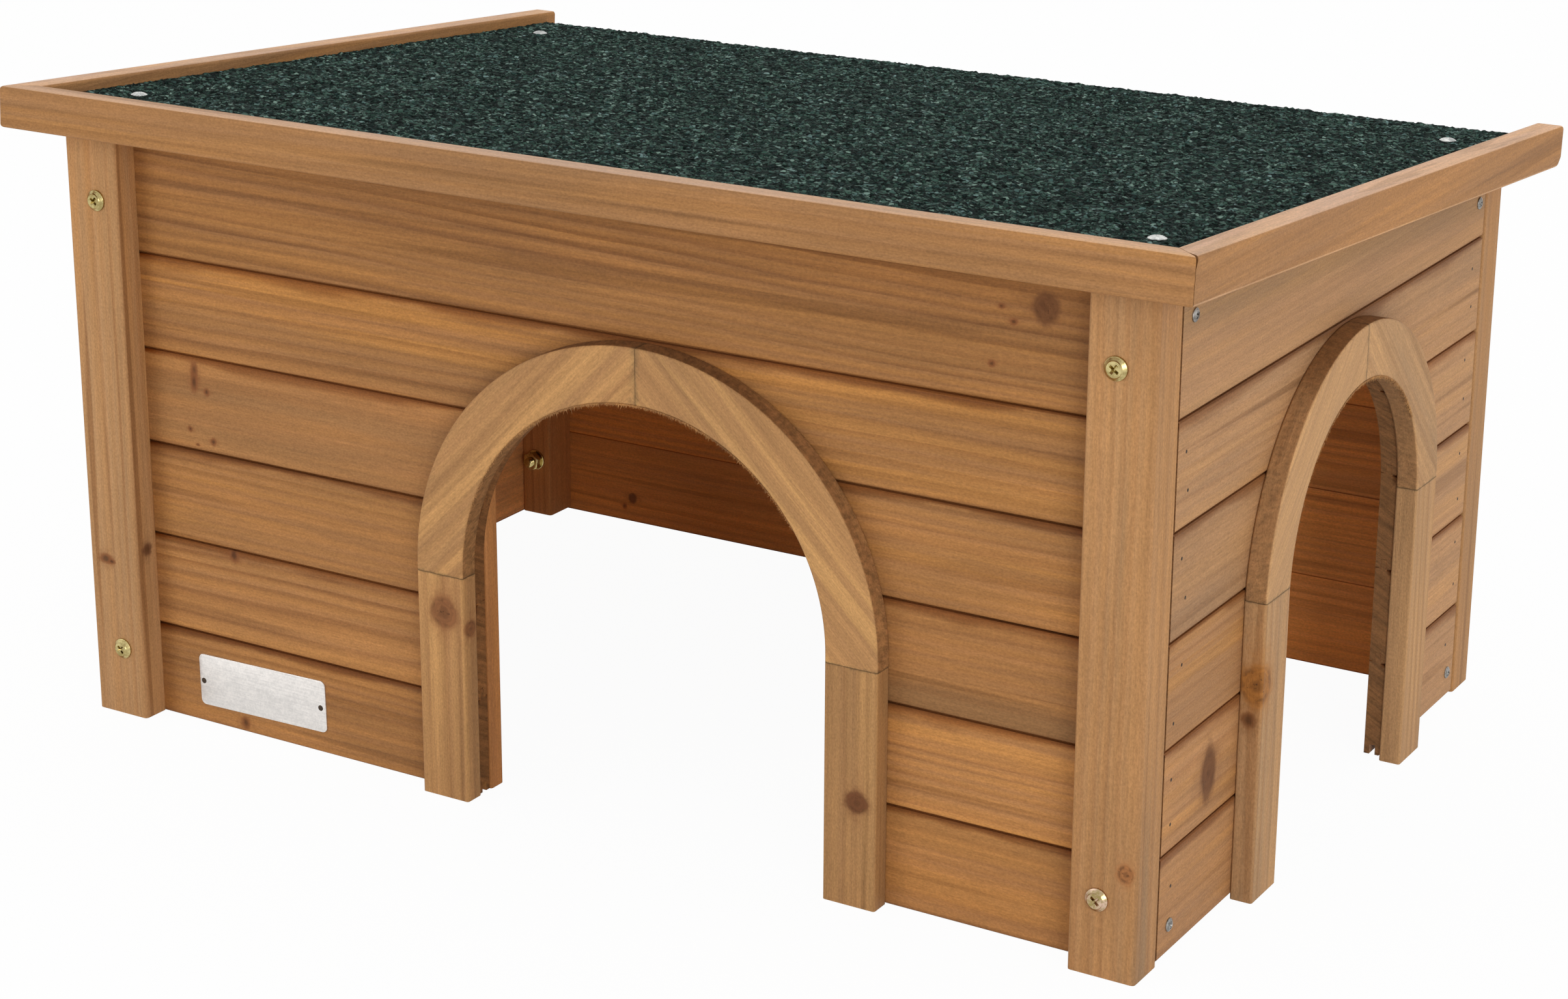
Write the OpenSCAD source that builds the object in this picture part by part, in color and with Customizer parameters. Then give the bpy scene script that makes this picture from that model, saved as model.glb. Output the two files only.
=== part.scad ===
// Small rabbit hutch: four corner posts, six rows of tongue-and-groove boards
// on each wall, an arched doorway in the front and one in the right side, and
// a felted pent roof inside a three-sided rail.
// X runs to the right along the front, Y to the rear and Z up. The origin is
// on the floor, under the middle of the roof.

/* [Body] */
// Width over the outer faces of the corner posts
body_w = 600; // [540:5:720]
// Depth over the front and rear faces of the corner posts
body_d = 420; // [380:5:480]
// Height of the front top edge of the roof rail
height_front = 335; // [300:1:380]
// Fall of the roof towards the rear, in degrees
roof_angle = 4; // [2:0.5:5]

/* [Posts and battens] */
// Width of a corner post, seen from the front
post_w = 32.5; // [30:0.5:40]
// How far the front and rear boards lie behind the face of the posts
board_recess = 14.5; // [13:0.5:18]
// Width of the rebate in each post that takes the ends of the boards
rebate_w = 8; // [5:0.5:10]
// Width of a corner batten, across the body
batten_w = 21; // [18:0.5:26]
// Depth of a corner batten, from front to rear
batten_d = 23; // [18:0.5:30]
// Radius of the eased edges of the posts, battens and rails
edge_r = 1.8; // [0.5:0.1:2.5]

/* [Boards] */
// Thickness of a wall board
board_t = 8.5; // [7.5:0.5:11]
// Height from one board to the next
board_pitch = 50; // [40:0.5:60]
// Least height of the top boards, which are trimmed to the roof
top_board_min = 25; // [10:1:40]
// Height of the shadow gap between two boards
shadow_h = 1; // [0.6:0.1:3]
// Thickness of a board's tongue
tongue_t = 2.6; // [2:0.1:3]
// Height of a board's tongue above the shoulder
tongue_h = 5; // [3:0.5:7]
// Chamfer on the outer long edges of a board
board_chamfer = 0.7; // [0.2:0.1:1]
// How far the side walls stand clear of the floor
side_lift = 2; // [1:0.5:5]
// Gap between the side boards and the rear posts
side_gap = 3; // [1:0.5:5]

/* [Front doorway] */
// Distance of the doorway's middle to the right of the hutch's middle
front_door_x = 40; // [20:1:60]
// Half the width of the front doorway, which is also the radius of its arch
front_door_r = 101; // [90:1:104]
// Height of the centre of the front arch
front_spring_z = 120; // [112:1:123]
// Height of the joint between a front jamb and its arch piece
front_joint_z = 117; // [100:1:118]

/* [Side doorway] */
// Distance of the side doorway's middle behind the hutch's middle
side_door_y = 0; // [-20:1:20]
// Half the width of the side doorway, which is also the radius of its arch
side_door_r = 80; // [70:1:84]
// Height of the centre of the side arch
side_spring_z = 143; // [134:1:146]
// Height of the joint between a side jamb and its arch piece
side_joint_z = 146.5; // [130:0.5:150]

/* [Doorway trim] */
// Width of the jambs and arch pieces
trim_w = 27.5; // [20:0.5:30]
// Thickness of the jambs and arch pieces
trim_t = 11; // [8:0.5:13]
// Radius of the eased edges of the trim
trim_edge_r = 1.2; // [0.3:0.1:2]
// How far the boards are cut back behind the edge of the trim
cut_back = 1.3; // [0.5:0.1:3]
// Thickness of the battens behind the front jambs
door_batten_t = 10; // [8:0.5:14]
// Width of the battens behind the front jambs
door_batten_w = 28; // [20:1:36]

/* [Roof] */
// How far the roof stands out beyond the posts at each side
side_overhang = 23; // [16:1:60]
// How far the roof stands out beyond the posts, both in front and behind
end_overhang = 21; // [16:1:60]
// Width of a rail, seen from above
rail_w = 15; // [12:0.5:20]
// Height of a rail
rail_h = 21; // [19:0.5:25]
// Thickness of the roof panel
panel_t = 12; // [9:0.5:13]
// Thickness of the roofing felt
felt_t = 3; // [2:0.5:4]
// How far the panel and felt stop short of the rail ends
rear_inset = 8; // [2:0.5:14]
// Size of the bevel at the lower rear corner of a side rail
rail_bevel = 5; // [2:0.5:8]
// How wide the right mitre has opened at its outer top corner
mitre_open_w = 2.2; // [0.2:0.1:3]
// How far that opening runs inwards along the top of the mitre
mitre_open_run = 10; // [4:0.5:14]
// How far that opening runs down the corner
mitre_open_drop = 6; // [2:0.5:12]

/* [Fasteners] */
// Diameter of a corner bolt
bolt_d = 6; // [5:0.5:7]
// Diameter of the head of a corner bolt
bolt_head_d = 11; // [10:0.5:13]
// Height of the head of a corner bolt
bolt_head_h = 2.6; // [2:0.1:3.5]
// Width of the sloping rim of that head
bolt_rim = 1.8; // [1:0.1:2]
// Distance of a corner bolt from the outer face of its post
bolt_inset = 19; // [17:0.5:21]
// Height of the lower corner bolts above the floor
bolt_low_z = 37; // [34:1:60]
// Distance of the upper corner bolts below the roof
bolt_drop = 35; // [32:1:50]
// Diameter of the washer under a corner nut
washer_d = 12.5; // [11:0.5:14]
// Thickness of the washer under a corner nut
washer_t = 1.2; // [0.8:0.1:2]
// Width across the flats of a corner nut
nut_flats = 10; // [9:0.5:11]
// Height of a corner nut
nut_h = 5; // [4:0.5:6]
// Length of bolt that stands out of its nut
bolt_proud = 3; // [1:0.5:5]
// Diameter of a roof screw
roof_screw_d = 4; // [3:0.5:5]
// Diameter of the domed head of a roof screw
roof_head_d = 8.5; // [7:0.5:12]
// Height of the domed head of a roof screw
roof_head_h = 1.8; // [1.5:0.1:3]
// How deep a roof screw goes into the corner batten
roof_screw_grip = 11; // [6:0.5:12]
// Diameter of a side screw
side_screw_d = 3.5; // [2.5:0.5:4.5]
// Diameter of the head of a side screw
side_head_d = 6.5; // [6:0.5:8]
// Height of the head of a side screw
side_head_h = 1.8; // [1:0.1:2.5]
// How deep a side screw goes into the corner batten
side_screw_grip = 16; // [10:0.5:17]
// Height of the lower side screws above the floor
side_screw_low_z = 15.5; // [12:0.5:20]
// Distance of the upper side screws below the roof
side_screw_drop = 15; // [14.5:0.5:18]

/* [Clearances] */
// Gap between wooden pieces that are fitted together
wood_fit = 0.1; // [0.05:0.05:0.3]
// Gap round a tongue in its groove
tongue_fit = 0.2; // [0.1:0.05:0.4]
// How much wider a bore is than the screw or bolt in it
bore_fit = 0.2; // [0.1:0.1:0.5]

/* [Hidden] */
SIDES = [-1, 1];
front_angle = 0;
right_angle = 90;
rear_angle = 180;
ARC_STEPS = 4;
round_fn = 48;
arch_fn = 144;
beyond = 1;
cross_w = 1.1;
cross_depth = 1.3;

roof_w = body_w + 2 * side_overhang;
roof_d = body_d + 2 * end_overhang;
post_d = board_recess + board_t;
tongue_front = (board_t - tongue_t) / 2;
tongue_back = tongue_front + tongue_t;
rail_run = (roof_d - rail_h * sin(roof_angle)) / cos(roof_angle);
roof_origin = [0, rail_h * sin(roof_angle) - roof_d / 2, height_front];
panel_half_w = roof_w / 2 - rail_w - wood_fit;
panel_front = rail_w + wood_fit;
panel_run = rail_run - rear_inset - panel_front;
felt_top = panel_t + felt_t - rail_h;
batten_y = body_d / 2 - post_d - batten_d / 2;
batten_x = body_w / 2 - board_t - batten_w / 2;
bolt_x = body_w / 2 - bolt_inset;
board_half_span = body_w / 2 - post_w + rebate_w - wood_fit;
side_board_front = post_d - body_d / 2 + wood_fit;
side_board_rear = body_d / 2 - post_d - side_gap;

// Rows of boards on a wall, and how many of them a doorway cuts in two
ROWS = 1 + floor((roof_z(body_d / 2) - side_lift - top_board_min) / board_pitch);
FRONT_CUT_ROWS = floor((front_spring_z + front_door_r + cut_back) / board_pitch);
RIGHT_CUT_ROWS = floor((side_spring_z + side_door_r + cut_back - side_lift) / board_pitch);

// Height of the underside of the roof at a distance y behind the middle
function roof_z(y) = height_front - rail_h * cos(roof_angle) - (y + roof_d / 2) * tan(roof_angle);

// Quarter circle about a centre, from a starting angle
function corner_arc(x, y, r, start) =
    [for (i = [0:ARC_STEPS]) [x + r * cos(start + 90 * i / ARC_STEPS), y + r * sin(start + 90 * i / ARC_STEPS)]];

// Rectangle from the origin with eased corners
function eased_rect(w, h, r) = concat(
    corner_arc(w - r, h - r, r, 0),
    corner_arc(r, h - r, r, 90),
    corner_arc(r, r, r, 180),
    corner_arc(w - r, r, r, 270)
);

// Section of a board: x goes in from the outer face and y goes up
function board_section(top, tongue) = concat(
    [[0, board_chamfer], [board_chamfer, 0]],
    [[tongue_front - tongue_fit, 0], [tongue_front - tongue_fit, tongue_h + tongue_fit]],
    [[tongue_back + tongue_fit, tongue_h + tongue_fit], [tongue_back + tongue_fit, 0]],
    [[board_t, 0], [board_t, top]],
    tongue
        ? [
            [tongue_back, top],
            [tongue_back, top + tongue_h],
            [tongue_front, top + tongue_h],
            [tongue_front, top - shadow_h],
            [board_chamfer, top - shadow_h],
            [0, top - shadow_h - board_chamfer]
        ]
        : [[0, top]]
);

// Wall coordinates: x to the right as seen from outside, y up and z outwards
module on_wall(wall_angle, distance) {
    rotate([0, 0, wall_angle]) translate([0, -distance, 0]) rotate([90, 0, 0]) children();
}

module on_front() {
    on_wall(front_angle, body_d / 2 - board_recess) children();
}

module on_right() {
    on_wall(right_angle, body_w / 2) children();
}

module on_rear() {
    on_wall(rear_angle, body_d / 2 - board_recess) children();
}

// Roof coordinates: x to the right, y down the slope and z square to the roof
module on_roof() {
    translate(roof_origin) rotate([-roof_angle, 0, 0]) children();
}

// What is drawn inside is trimmed to the underside of the roof
module under_roof() {
    difference() {
        children();
        on_roof() translate([-roof_w, -roof_d, -rail_h - wood_fit]) cube([2 * roof_w, 3 * roof_d, height_front]);
    }
}

// What is drawn for the front right corner is carried to another corner
module at_corner(x_side, y_side) {
    mirror([x_side < 0 ? 1 : 0, 0, 0]) mirror([0, y_side > 0 ? 1 : 0, 0]) children();
}

// Outline of a doorway: straight sides with a round arch on top
module door_outline(x, r, spring_z) {
    translate([x, spring_z]) circle(r, $fn = arch_fn);
    translate([x - r, -beyond]) square([2 * r, spring_z + beyond]);
}

module door_cut(x, r, spring_z) {
    translate([0, 0, -board_t - beyond]) linear_extrude(board_t + 2 * beyond)
        door_outline(x, r + cut_back, spring_z);
}

module front_door_cut() {
    door_cut(front_door_x, front_door_r, front_spring_z);
}

module side_door_cut() {
    door_cut(side_door_y, side_door_r, side_spring_z);
}

// One row of boards in wall coordinates, from x = start to x = stop
module board_row(row, start, stop, lift = 0) {
    base = lift + (row - 1) * board_pitch;
    is_top = row == ROWS;
    translate([start, base, 0]) rotate([0, 90, 0]) linear_extrude(stop - start)
        polygon(board_section(is_top ? height_front - base : board_pitch, !is_top));
}

module front_board(row, start, stop) {
    color("peru") under_roof() on_front() difference() {
        board_row(row, start, stop);
        front_door_cut();
    }
}

module right_board(row, start, stop) {
    color("burlywood") under_roof() difference() {
        on_right() difference() {
            board_row(row, start, stop, side_lift);
            side_door_cut();
        }
        side_screw_bores();
    }
}

module rear_board(row) {
    color("peru") under_roof() on_rear() board_row(row, -board_half_span, board_half_span);
}

module left_board(row) {
    color("burlywood") under_roof() difference() {
        mirror([1, 0, 0]) on_right() board_row(row, side_board_front, side_board_rear, side_lift);
        side_screw_bores();
    }
}

// Corner post, with the rebate that the board ends lie in
module post(x_side, y_side) {
    color("tan") under_roof() difference() {
        at_corner(x_side, y_side) translate([body_w / 2 - post_w, -body_d / 2, 0])
            linear_extrude(height_front) difference() {
                polygon(eased_rect(post_w, post_d, edge_r));
                translate([-beyond, board_recess]) square([rebate_w + beyond, board_t + beyond]);
            }
        corner_bolt_bores();
    }
}

// Batten inside a corner, which the side boards and the roof are fixed to
module batten(x_side, y_side) {
    color("sienna") under_roof() difference() {
        at_corner(x_side, y_side)
            translate([batten_x - batten_w / 2, -batten_y - batten_d / 2, side_lift])
                linear_extrude(height_front) polygon(eased_rect(batten_w, batten_d, edge_r));
        corner_bolt_bores();
        side_screw_bores();
        roof_screw_bores();
    }
}

// Straight strip of doorway trim, standing on y = 0 with its back on z = 0
module trim_strip(length) {
    rotate([-90, 0, 0]) mirror([0, 1, 0]) linear_extrude(length)
        polygon(eased_rect(trim_w, trim_t, trim_edge_r));
}

module jamb(x, joint_z) {
    translate([x, 0, 0]) trim_strip(joint_z - wood_fit / 2);
}

// Quarter arch, drawn for the right half of a doorway whose middle is x = 0
module arch_piece(r, spring_z, joint_z) {
    intersection() {
        union() {
            translate([0, spring_z, 0]) rotate_extrude(angle = 90, $fn = arch_fn)
                translate([r, 0]) polygon(eased_rect(trim_w, trim_t, trim_edge_r));
            translate([r, 0, 0]) trim_strip(spring_z);
        }
        translate([wood_fit / 2, joint_z + wood_fit / 2, -beyond])
            cube([r + trim_w + beyond, r + trim_w + spring_z, trim_t + 2 * beyond]);
    }
}

module front_arch(x_side) {
    color("tan") on_front() translate([front_door_x, 0, 0]) mirror([x_side < 0 ? 1 : 0, 0, 0])
        arch_piece(front_door_r, front_spring_z, front_joint_z);
}

module side_arch(x_side) {
    color("wheat") on_right() translate([side_door_y, 0, 0]) mirror([x_side < 0 ? 1 : 0, 0, 0])
        arch_piece(side_door_r, side_spring_z, side_joint_z);
}

module front_jamb(x_side) {
    color("tan") on_front()
        jamb(front_door_x + x_side * front_door_r - (x_side < 0 ? trim_w : 0), front_joint_z);
}

module side_jamb(x_side) {
    color("wheat") on_right()
        jamb(side_door_y + x_side * side_door_r - (x_side < 0 ? trim_w : 0), side_joint_z);
}

// Upright batten behind a front jamb, which ties the cut boards together
module door_batten(x_side) {
    color("sienna") under_roof() on_front()
        translate([front_door_x + x_side * front_door_r - (x_side < 0 ? door_batten_w : 0), 0, -board_t])
            rotate([-90, 0, 0]) linear_extrude(height_front)
                polygon(eased_rect(door_batten_w, door_batten_t, trim_edge_r));
}

module roof_panel() {
    color("burlywood") difference() {
        on_roof() translate([-panel_half_w, panel_front, -rail_h]) cube([2 * panel_half_w, panel_run, panel_t]);
        roof_screw_bores();
    }
}

module roof_felt() {
    color("darkslategray") difference() {
        on_roof() translate([-panel_half_w, panel_front, panel_t - rail_h])
            cube([2 * panel_half_w, panel_run, felt_t]);
        roof_screw_bores();
    }
}

// Plan of the rails' mitres: the wedge that belongs to the front rail
module front_mitre() {
    translate([0, 0, -rail_h - beyond]) linear_extrude(rail_h + 2 * beyond)
        polygon([
            [-roof_w / 2, 0],
            [roof_w / 2, 0],
            [roof_w / 2 - rail_w - beyond, rail_w + beyond],
            [-roof_w / 2 + rail_w + beyond, rail_w + beyond]
        ]);
}

module roof_rail_front() {
    color("tan") on_roof() intersection() {
        translate([-roof_w / 2, 0, 0]) rotate([90, 0, 90]) linear_extrude(roof_w)
            translate([0, -rail_h]) polygon(eased_rect(rail_w, rail_h, edge_r));
        front_mitre();
    }
}

module roof_rail_side(x_side) {
    half_w = roof_w / 2;
    color("tan") on_roof() mirror([x_side < 0 ? 1 : 0, 0, 0]) difference() {
        translate([half_w - rail_w, rail_run, -rail_h]) rotate([90, 0, 0]) linear_extrude(rail_run)
            polygon(eased_rect(rail_w, rail_h, edge_r));
        translate([wood_fit, wood_fit, 0]) mitre_wedge();
        if (x_side > 0) mitre_opening();
        translate([0, rail_run, -rail_h]) rotate([90, 0, 90]) linear_extrude(roof_w)
            polygon([[-rail_bevel - beyond, -beyond], [beyond, -beyond], [beyond, rail_bevel + beyond]]);
    }
}

// The corner that a side rail leaves to the front rail
module mitre_wedge() {
    half_w = roof_w / 2;
    translate([0, 0, -rail_h - beyond]) linear_extrude(rail_h + 2 * beyond)
        polygon([
            [half_w + beyond, -beyond],
            [half_w - rail_w - beyond, rail_w + beyond],
            [half_w - rail_w - beyond, -beyond]
        ]);
}

// The sliver that a side rail lacks where its mitre has opened: all that lies before
// a plane that leans away from the mitre about the slant lower edge of the opening
module mitre_opening() {
    edge = norm([mitre_open_run, mitre_open_drop]);
    corner_off_edge = mitre_open_run * mitre_open_drop / edge;
    translate([roof_w / 2, 0, 0]) rotate([0, 0, 135]) translate([mitre_open_run, 0, 0])
        rotate([0, 180 - atan(mitre_open_drop / mitre_open_run), 0])
            rotate([-atan(mitre_open_w / corner_off_edge), 0, 0])
                translate([-edge, 0, -2 * corner_off_edge]) cube([3 * edge, edge, 2 * corner_off_edge]);
}

// Cross recess in a screw head, cut down from z = 0
module cross_recess(span) {
    for (turn = [0, 90]) {
        rotate([0, 0, turn]) translate([-span / 2, -cross_w / 2, -cross_depth])
            cube([span, cross_w, cross_depth + beyond]);
    }
}

// Domed head on z = 0, as a part of a sphere
module dome_head(d, h) {
    ball_r = (d * d / 4 + h * h) / (2 * h);
    rise = asin(d / 2 / ball_r);
    difference() {
        rotate_extrude($fn = round_fn) polygon(concat(
            [[0, 0]],
            [for (i = [0:ARC_STEPS]) [
                ball_r * sin(rise * (1 - i / ARC_STEPS)),
                ball_r * cos(rise * (1 - i / ARC_STEPS)) - ball_r + h
            ]]
        ));
        translate([0, 0, h]) cross_recess(d / 2);
    }
}

// Flat head on z = 0 with a rim that slopes at 45 degrees
module bevel_head(d, h, rim) {
    difference() {
        union() {
            cylinder(h - rim, d = d, $fn = round_fn);
            translate([0, 0, h - rim]) cylinder(rim, d1 = d, d2 = d - 2 * rim, $fn = round_fn);
        }
        translate([0, 0, h]) cross_recess(d / 2);
    }
}

// Places of the roof screws, on the top of the felt
module at_roof_screws() {
    for (x_side = SIDES, y_side = SIDES) {
        on_roof() translate([x_side * batten_x, (y_side * batten_y + roof_d / 2) / cos(roof_angle), felt_top])
            children();
    }
}

module roof_screws() {
    color("gainsboro") at_roof_screws() {
        dome_head(roof_head_d, roof_head_h);
        translate([0, 0, -felt_t - panel_t - roof_screw_grip])
            cylinder(felt_t + panel_t + roof_screw_grip, d = roof_screw_d, $fn = round_fn);
    }
}

module roof_screw_bores() {
    depth = felt_t + panel_t + roof_screw_grip + beyond;
    at_roof_screws() translate([0, 0, -depth])
        cylinder(depth + beyond, d = roof_screw_d + bore_fit, $fn = round_fn);
}

// Places of the side screws, on the outer face of the side boards
module at_side_screws() {
    for (x_side = SIDES, y_side = SIDES, z = [side_screw_low_z, roof_z(y_side * batten_y) - side_screw_drop]) {
        mirror([x_side < 0 ? 1 : 0, 0, 0]) translate([body_w / 2, y_side * batten_y, z]) rotate([0, 90, 0])
            children();
    }
}

module side_screws() {
    color("silver") at_side_screws() {
        dome_head(side_head_d, side_head_h);
        translate([0, 0, -board_t - side_screw_grip])
            cylinder(board_t + side_screw_grip, d = side_screw_d, $fn = round_fn);
    }
}

module side_screw_bores() {
    depth = board_t + side_screw_grip + beyond;
    at_side_screws() translate([0, 0, -depth]) cylinder(depth + beyond, d = side_screw_d + bore_fit, $fn = round_fn);
}

// Places of the corner bolts, on the face of the posts, with z outwards
module at_corner_bolts() {
    for (x_side = SIDES, y_side = SIDES, z = [bolt_low_z, roof_z(y_side * body_d / 2) - bolt_drop]) {
        at_corner(x_side, y_side) translate([bolt_x, -body_d / 2, z]) rotate([90, 0, 0]) children();
    }
}

module corner_bolts() {
    length = post_d + batten_d + washer_t + nut_h + bolt_proud;
    color("goldenrod") at_corner_bolts() {
        bevel_head(bolt_head_d, bolt_head_h, bolt_rim);
        translate([0, 0, -length]) cylinder(length, d = bolt_d, $fn = round_fn);
    }
}

module corner_bolt_bores() {
    depth = post_d + batten_d + beyond;
    at_corner_bolts() translate([0, 0, -depth]) cylinder(depth + beyond, d = bolt_d + bore_fit, $fn = round_fn);
}

module corner_washers() {
    color("goldenrod") at_corner_bolts() translate([0, 0, -post_d - batten_d - washer_t]) difference() {
        cylinder(washer_t, d = washer_d, $fn = round_fn);
        translate([0, 0, -beyond]) cylinder(washer_t + 2 * beyond, d = bolt_d + bore_fit, $fn = round_fn);
    }
}

module corner_nuts() {
    color("goldenrod") at_corner_bolts() translate([0, 0, -post_d - batten_d - washer_t - nut_h]) difference() {
        cylinder(nut_h, d = nut_flats / cos(30), $fn = 6);
        translate([0, 0, -beyond]) cylinder(nut_h + 2 * beyond, d = bolt_d + bore_fit, $fn = round_fn);
    }
}

post(-1, -1);  // front_post_left
post(1, -1);  // front_post_right
post(-1, 1);  // rear_post_left
post(1, 1);  // rear_post_right
for (row = [1:FRONT_CUT_ROWS]) {
    front_board(row, -board_half_span, front_door_x);
    front_board(row, front_door_x, board_half_span);
}
for (row = [FRONT_CUT_ROWS + 1:ROWS]) {
    front_board(row, -board_half_span, board_half_span);
}
for (row = [1:RIGHT_CUT_ROWS]) {
    right_board(row, side_board_front, side_door_y);
    right_board(row, side_door_y, side_board_rear);
}
for (row = [RIGHT_CUT_ROWS + 1:ROWS]) {
    right_board(row, side_board_front, side_board_rear);
}
for (row = [1:ROWS]) {
    rear_board(row);
    left_board(row);
}
batten(-1, -1);  // batten_front_left
batten(1, -1);  // batten_front_right
batten(-1, 1);  // batten_rear_left
batten(1, 1);  // batten_rear_right
front_arch(-1);  // front_arch_left
front_arch(1);  // front_arch_right
front_jamb(-1);  // front_jamb_left
front_jamb(1);  // front_jamb_right
door_batten(-1);  // door_batten_left
door_batten(1);  // door_batten_right
side_arch(-1);  // side_arch_front
side_arch(1);  // side_arch_rear
side_jamb(-1);  // side_jamb_front
side_jamb(1);  // side_jamb_rear
roof_panel();
roof_felt();
roof_rail_front();
roof_rail_side(-1);  // roof_rail_left
roof_rail_side(1);  // roof_rail_right
roof_screws();
side_screws();
corner_bolts();
corner_washers();
corner_nuts();
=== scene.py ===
"""Looks of the wooden rabbit hutch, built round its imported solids."""
import math
import random
from collections import namedtuple
from types import SimpleNamespace

import bmesh
import bpy
import numpy as np
from mathutils import Euler, Matrix, Vector


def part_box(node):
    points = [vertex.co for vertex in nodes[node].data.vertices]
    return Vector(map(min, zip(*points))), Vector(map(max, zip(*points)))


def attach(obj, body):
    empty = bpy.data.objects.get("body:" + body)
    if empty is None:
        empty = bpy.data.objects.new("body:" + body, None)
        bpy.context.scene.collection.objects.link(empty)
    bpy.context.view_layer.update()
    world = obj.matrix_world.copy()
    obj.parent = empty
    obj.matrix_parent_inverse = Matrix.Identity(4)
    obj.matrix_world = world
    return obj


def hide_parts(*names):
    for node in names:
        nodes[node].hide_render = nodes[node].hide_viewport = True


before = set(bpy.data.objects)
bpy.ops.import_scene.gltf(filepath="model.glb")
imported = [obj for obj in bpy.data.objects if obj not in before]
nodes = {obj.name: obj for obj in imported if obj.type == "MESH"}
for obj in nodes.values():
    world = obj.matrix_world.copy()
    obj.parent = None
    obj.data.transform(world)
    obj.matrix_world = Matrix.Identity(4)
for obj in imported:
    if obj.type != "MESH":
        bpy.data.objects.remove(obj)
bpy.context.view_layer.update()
MM = 0.001
X, Y, Z = range(3)
ROOF_SLOPE = math.radians(4)


def linear(*colour):
    """Colour from the usual 0 to 255 values, as the linear values that shaders take."""
    shares = [value / 255 for value in colour]
    return tuple(c / 12.92 if c <= 0.04045 else ((c + 0.055) / 1.055) ** 2.4 for c in shares) + (1.0,)


# ---------------- shader helpers


class Shader:
    """Adds nodes to one node tree and links them. Inputs are numbers, colours or sockets."""

    def __init__(self, tree):
        self.tree = tree

    def node(self, kind, inputs=(), **settings):
        made = self.tree.nodes.new("ShaderNode" + kind)
        for name, value in settings.items():
            setattr(made, name, value)
        for key, value in dict(inputs).items():
            self.put(made.inputs[key], value)
        return made

    def put(self, socket, value):
        if isinstance(value, bpy.types.NodeSocket):
            self.tree.links.new(value, socket)
        else:
            socket.default_value = value

    def math(self, operation, a, b=0.0, c=0.0):
        return self.node("Math", {0: a, 1: b, 2: c}, operation=operation).outputs[0]

    def minus(self, a, b):
        return self.math("SUBTRACT", a, b)

    def larger(self, a, b):
        return self.math("MAXIMUM", a, b)

    def product(self, first, *others):
        for other in others:
            first = self.math("MULTIPLY", first, other)
        return first

    def times_plus(self, a, b, c):
        """a times b, plus c."""
        return self.math("MULTIPLY_ADD", a, b, c)

    def vector(self, operation, a, b=(0, 0, 0)):
        made = self.node("VectorMath", {0: a, 1: b}, operation=operation)
        return made.outputs["Value" if operation in ("LENGTH", "DOT_PRODUCT") else "Vector"]

    def scaled(self, vector, factor):
        return self.node("VectorMath", {0: vector, "Scale": factor}, operation="SCALE").outputs["Vector"]

    def split(self, vector):
        return tuple(self.node("SeparateXYZ", {"Vector": vector}).outputs)

    def join(self, x, y, z):
        return self.node("CombineXYZ", {"X": x, "Y": y, "Z": z}).outputs["Vector"]

    def turned(self, vector, angle):
        inputs = {"Vector": vector, "Angle": angle}
        return self.node("VectorRotate", inputs, rotation_type="Z_AXIS").outputs["Vector"]

    def noise(self, vector, squeeze, scale, detail=2.0, roughness=0.5):
        """Noise between about 0.3 and 0.7, with x, or every axis, squeezed before it is scaled."""
        squeezed = self.vector("MULTIPLY", vector, squeeze if isinstance(squeeze, tuple) else (squeeze, 1, 1))
        inputs = {"Vector": squeezed, "Scale": scale, "Detail": detail, "Roughness": roughness}
        return self.node("TexNoise", inputs).outputs["Fac"]

    def ripple(self, *settings):
        """Noise that swings round zero."""
        return self.minus(self.noise(*settings), 0.5)

    def between(self, value, low, high, out_low=0.0, out_high=1.0, kind="SMOOTHSTEP"):
        """Value taken from the range low..high to the range out_low..out_high, with soft ends."""
        inputs = {"Value": value, "From Min": low, "From Max": high, "To Min": out_low, "To Max": out_high}
        return self.node("MapRange", inputs, interpolation_type=kind).outputs["Result"]

    def evenly(self, *settings):
        """The same along a straight line."""
        return self.between(*settings, kind="LINEAR")

    def mix(self, factor, a, b):
        made = self.node("Mix", {"Factor": factor}, data_type="RGBA")
        colour_a, colour_b, result = (one for one in (*made.inputs, *made.outputs) if one.type == "RGBA")
        self.put(colour_a, a)
        self.put(colour_b, b)
        return result

    def changed(self, colour, where, change):
        """Colour multiplied by a change, as far as where says."""
        return self.mix(where, colour, self.vector("MULTIPLY", colour, change))

    def ramp(self, value, stops):
        made = self.node("ValToRGB", {"Fac": value})
        elements = made.color_ramp.elements
        while len(elements) < len(stops):
            elements.new(0.5)
        for element, (place, colour) in zip(elements, stops):
            element.position = place
            element.color = linear(*colour)
        return made.outputs["Color"]


def new_group(name, inputs, outputs):
    """An empty node group whose sockets are listed by kind, with its inputs by name and its results."""
    tree = bpy.data.node_groups.new(name, "ShaderNodeTree")
    for direction, sockets in (("INPUT", inputs), ("OUTPUT", outputs)):
        for kind, names in sockets.items():
            for socket in names:
                tree.interface.new_socket(socket, in_out=direction, socket_type="NodeSocket" + kind)
    sockets = tree.nodes.new("NodeGroupInput").outputs
    given = SimpleNamespace(**{name: sockets[name] for names in inputs.values() for name in names})
    return tree, given, tree.nodes.new("NodeGroupOutput").inputs


def new_material(name):
    material = bpy.data.materials.new(name)
    material.use_nodes = True
    material.node_tree.nodes.clear()
    return material, Shader(material.node_tree)


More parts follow.
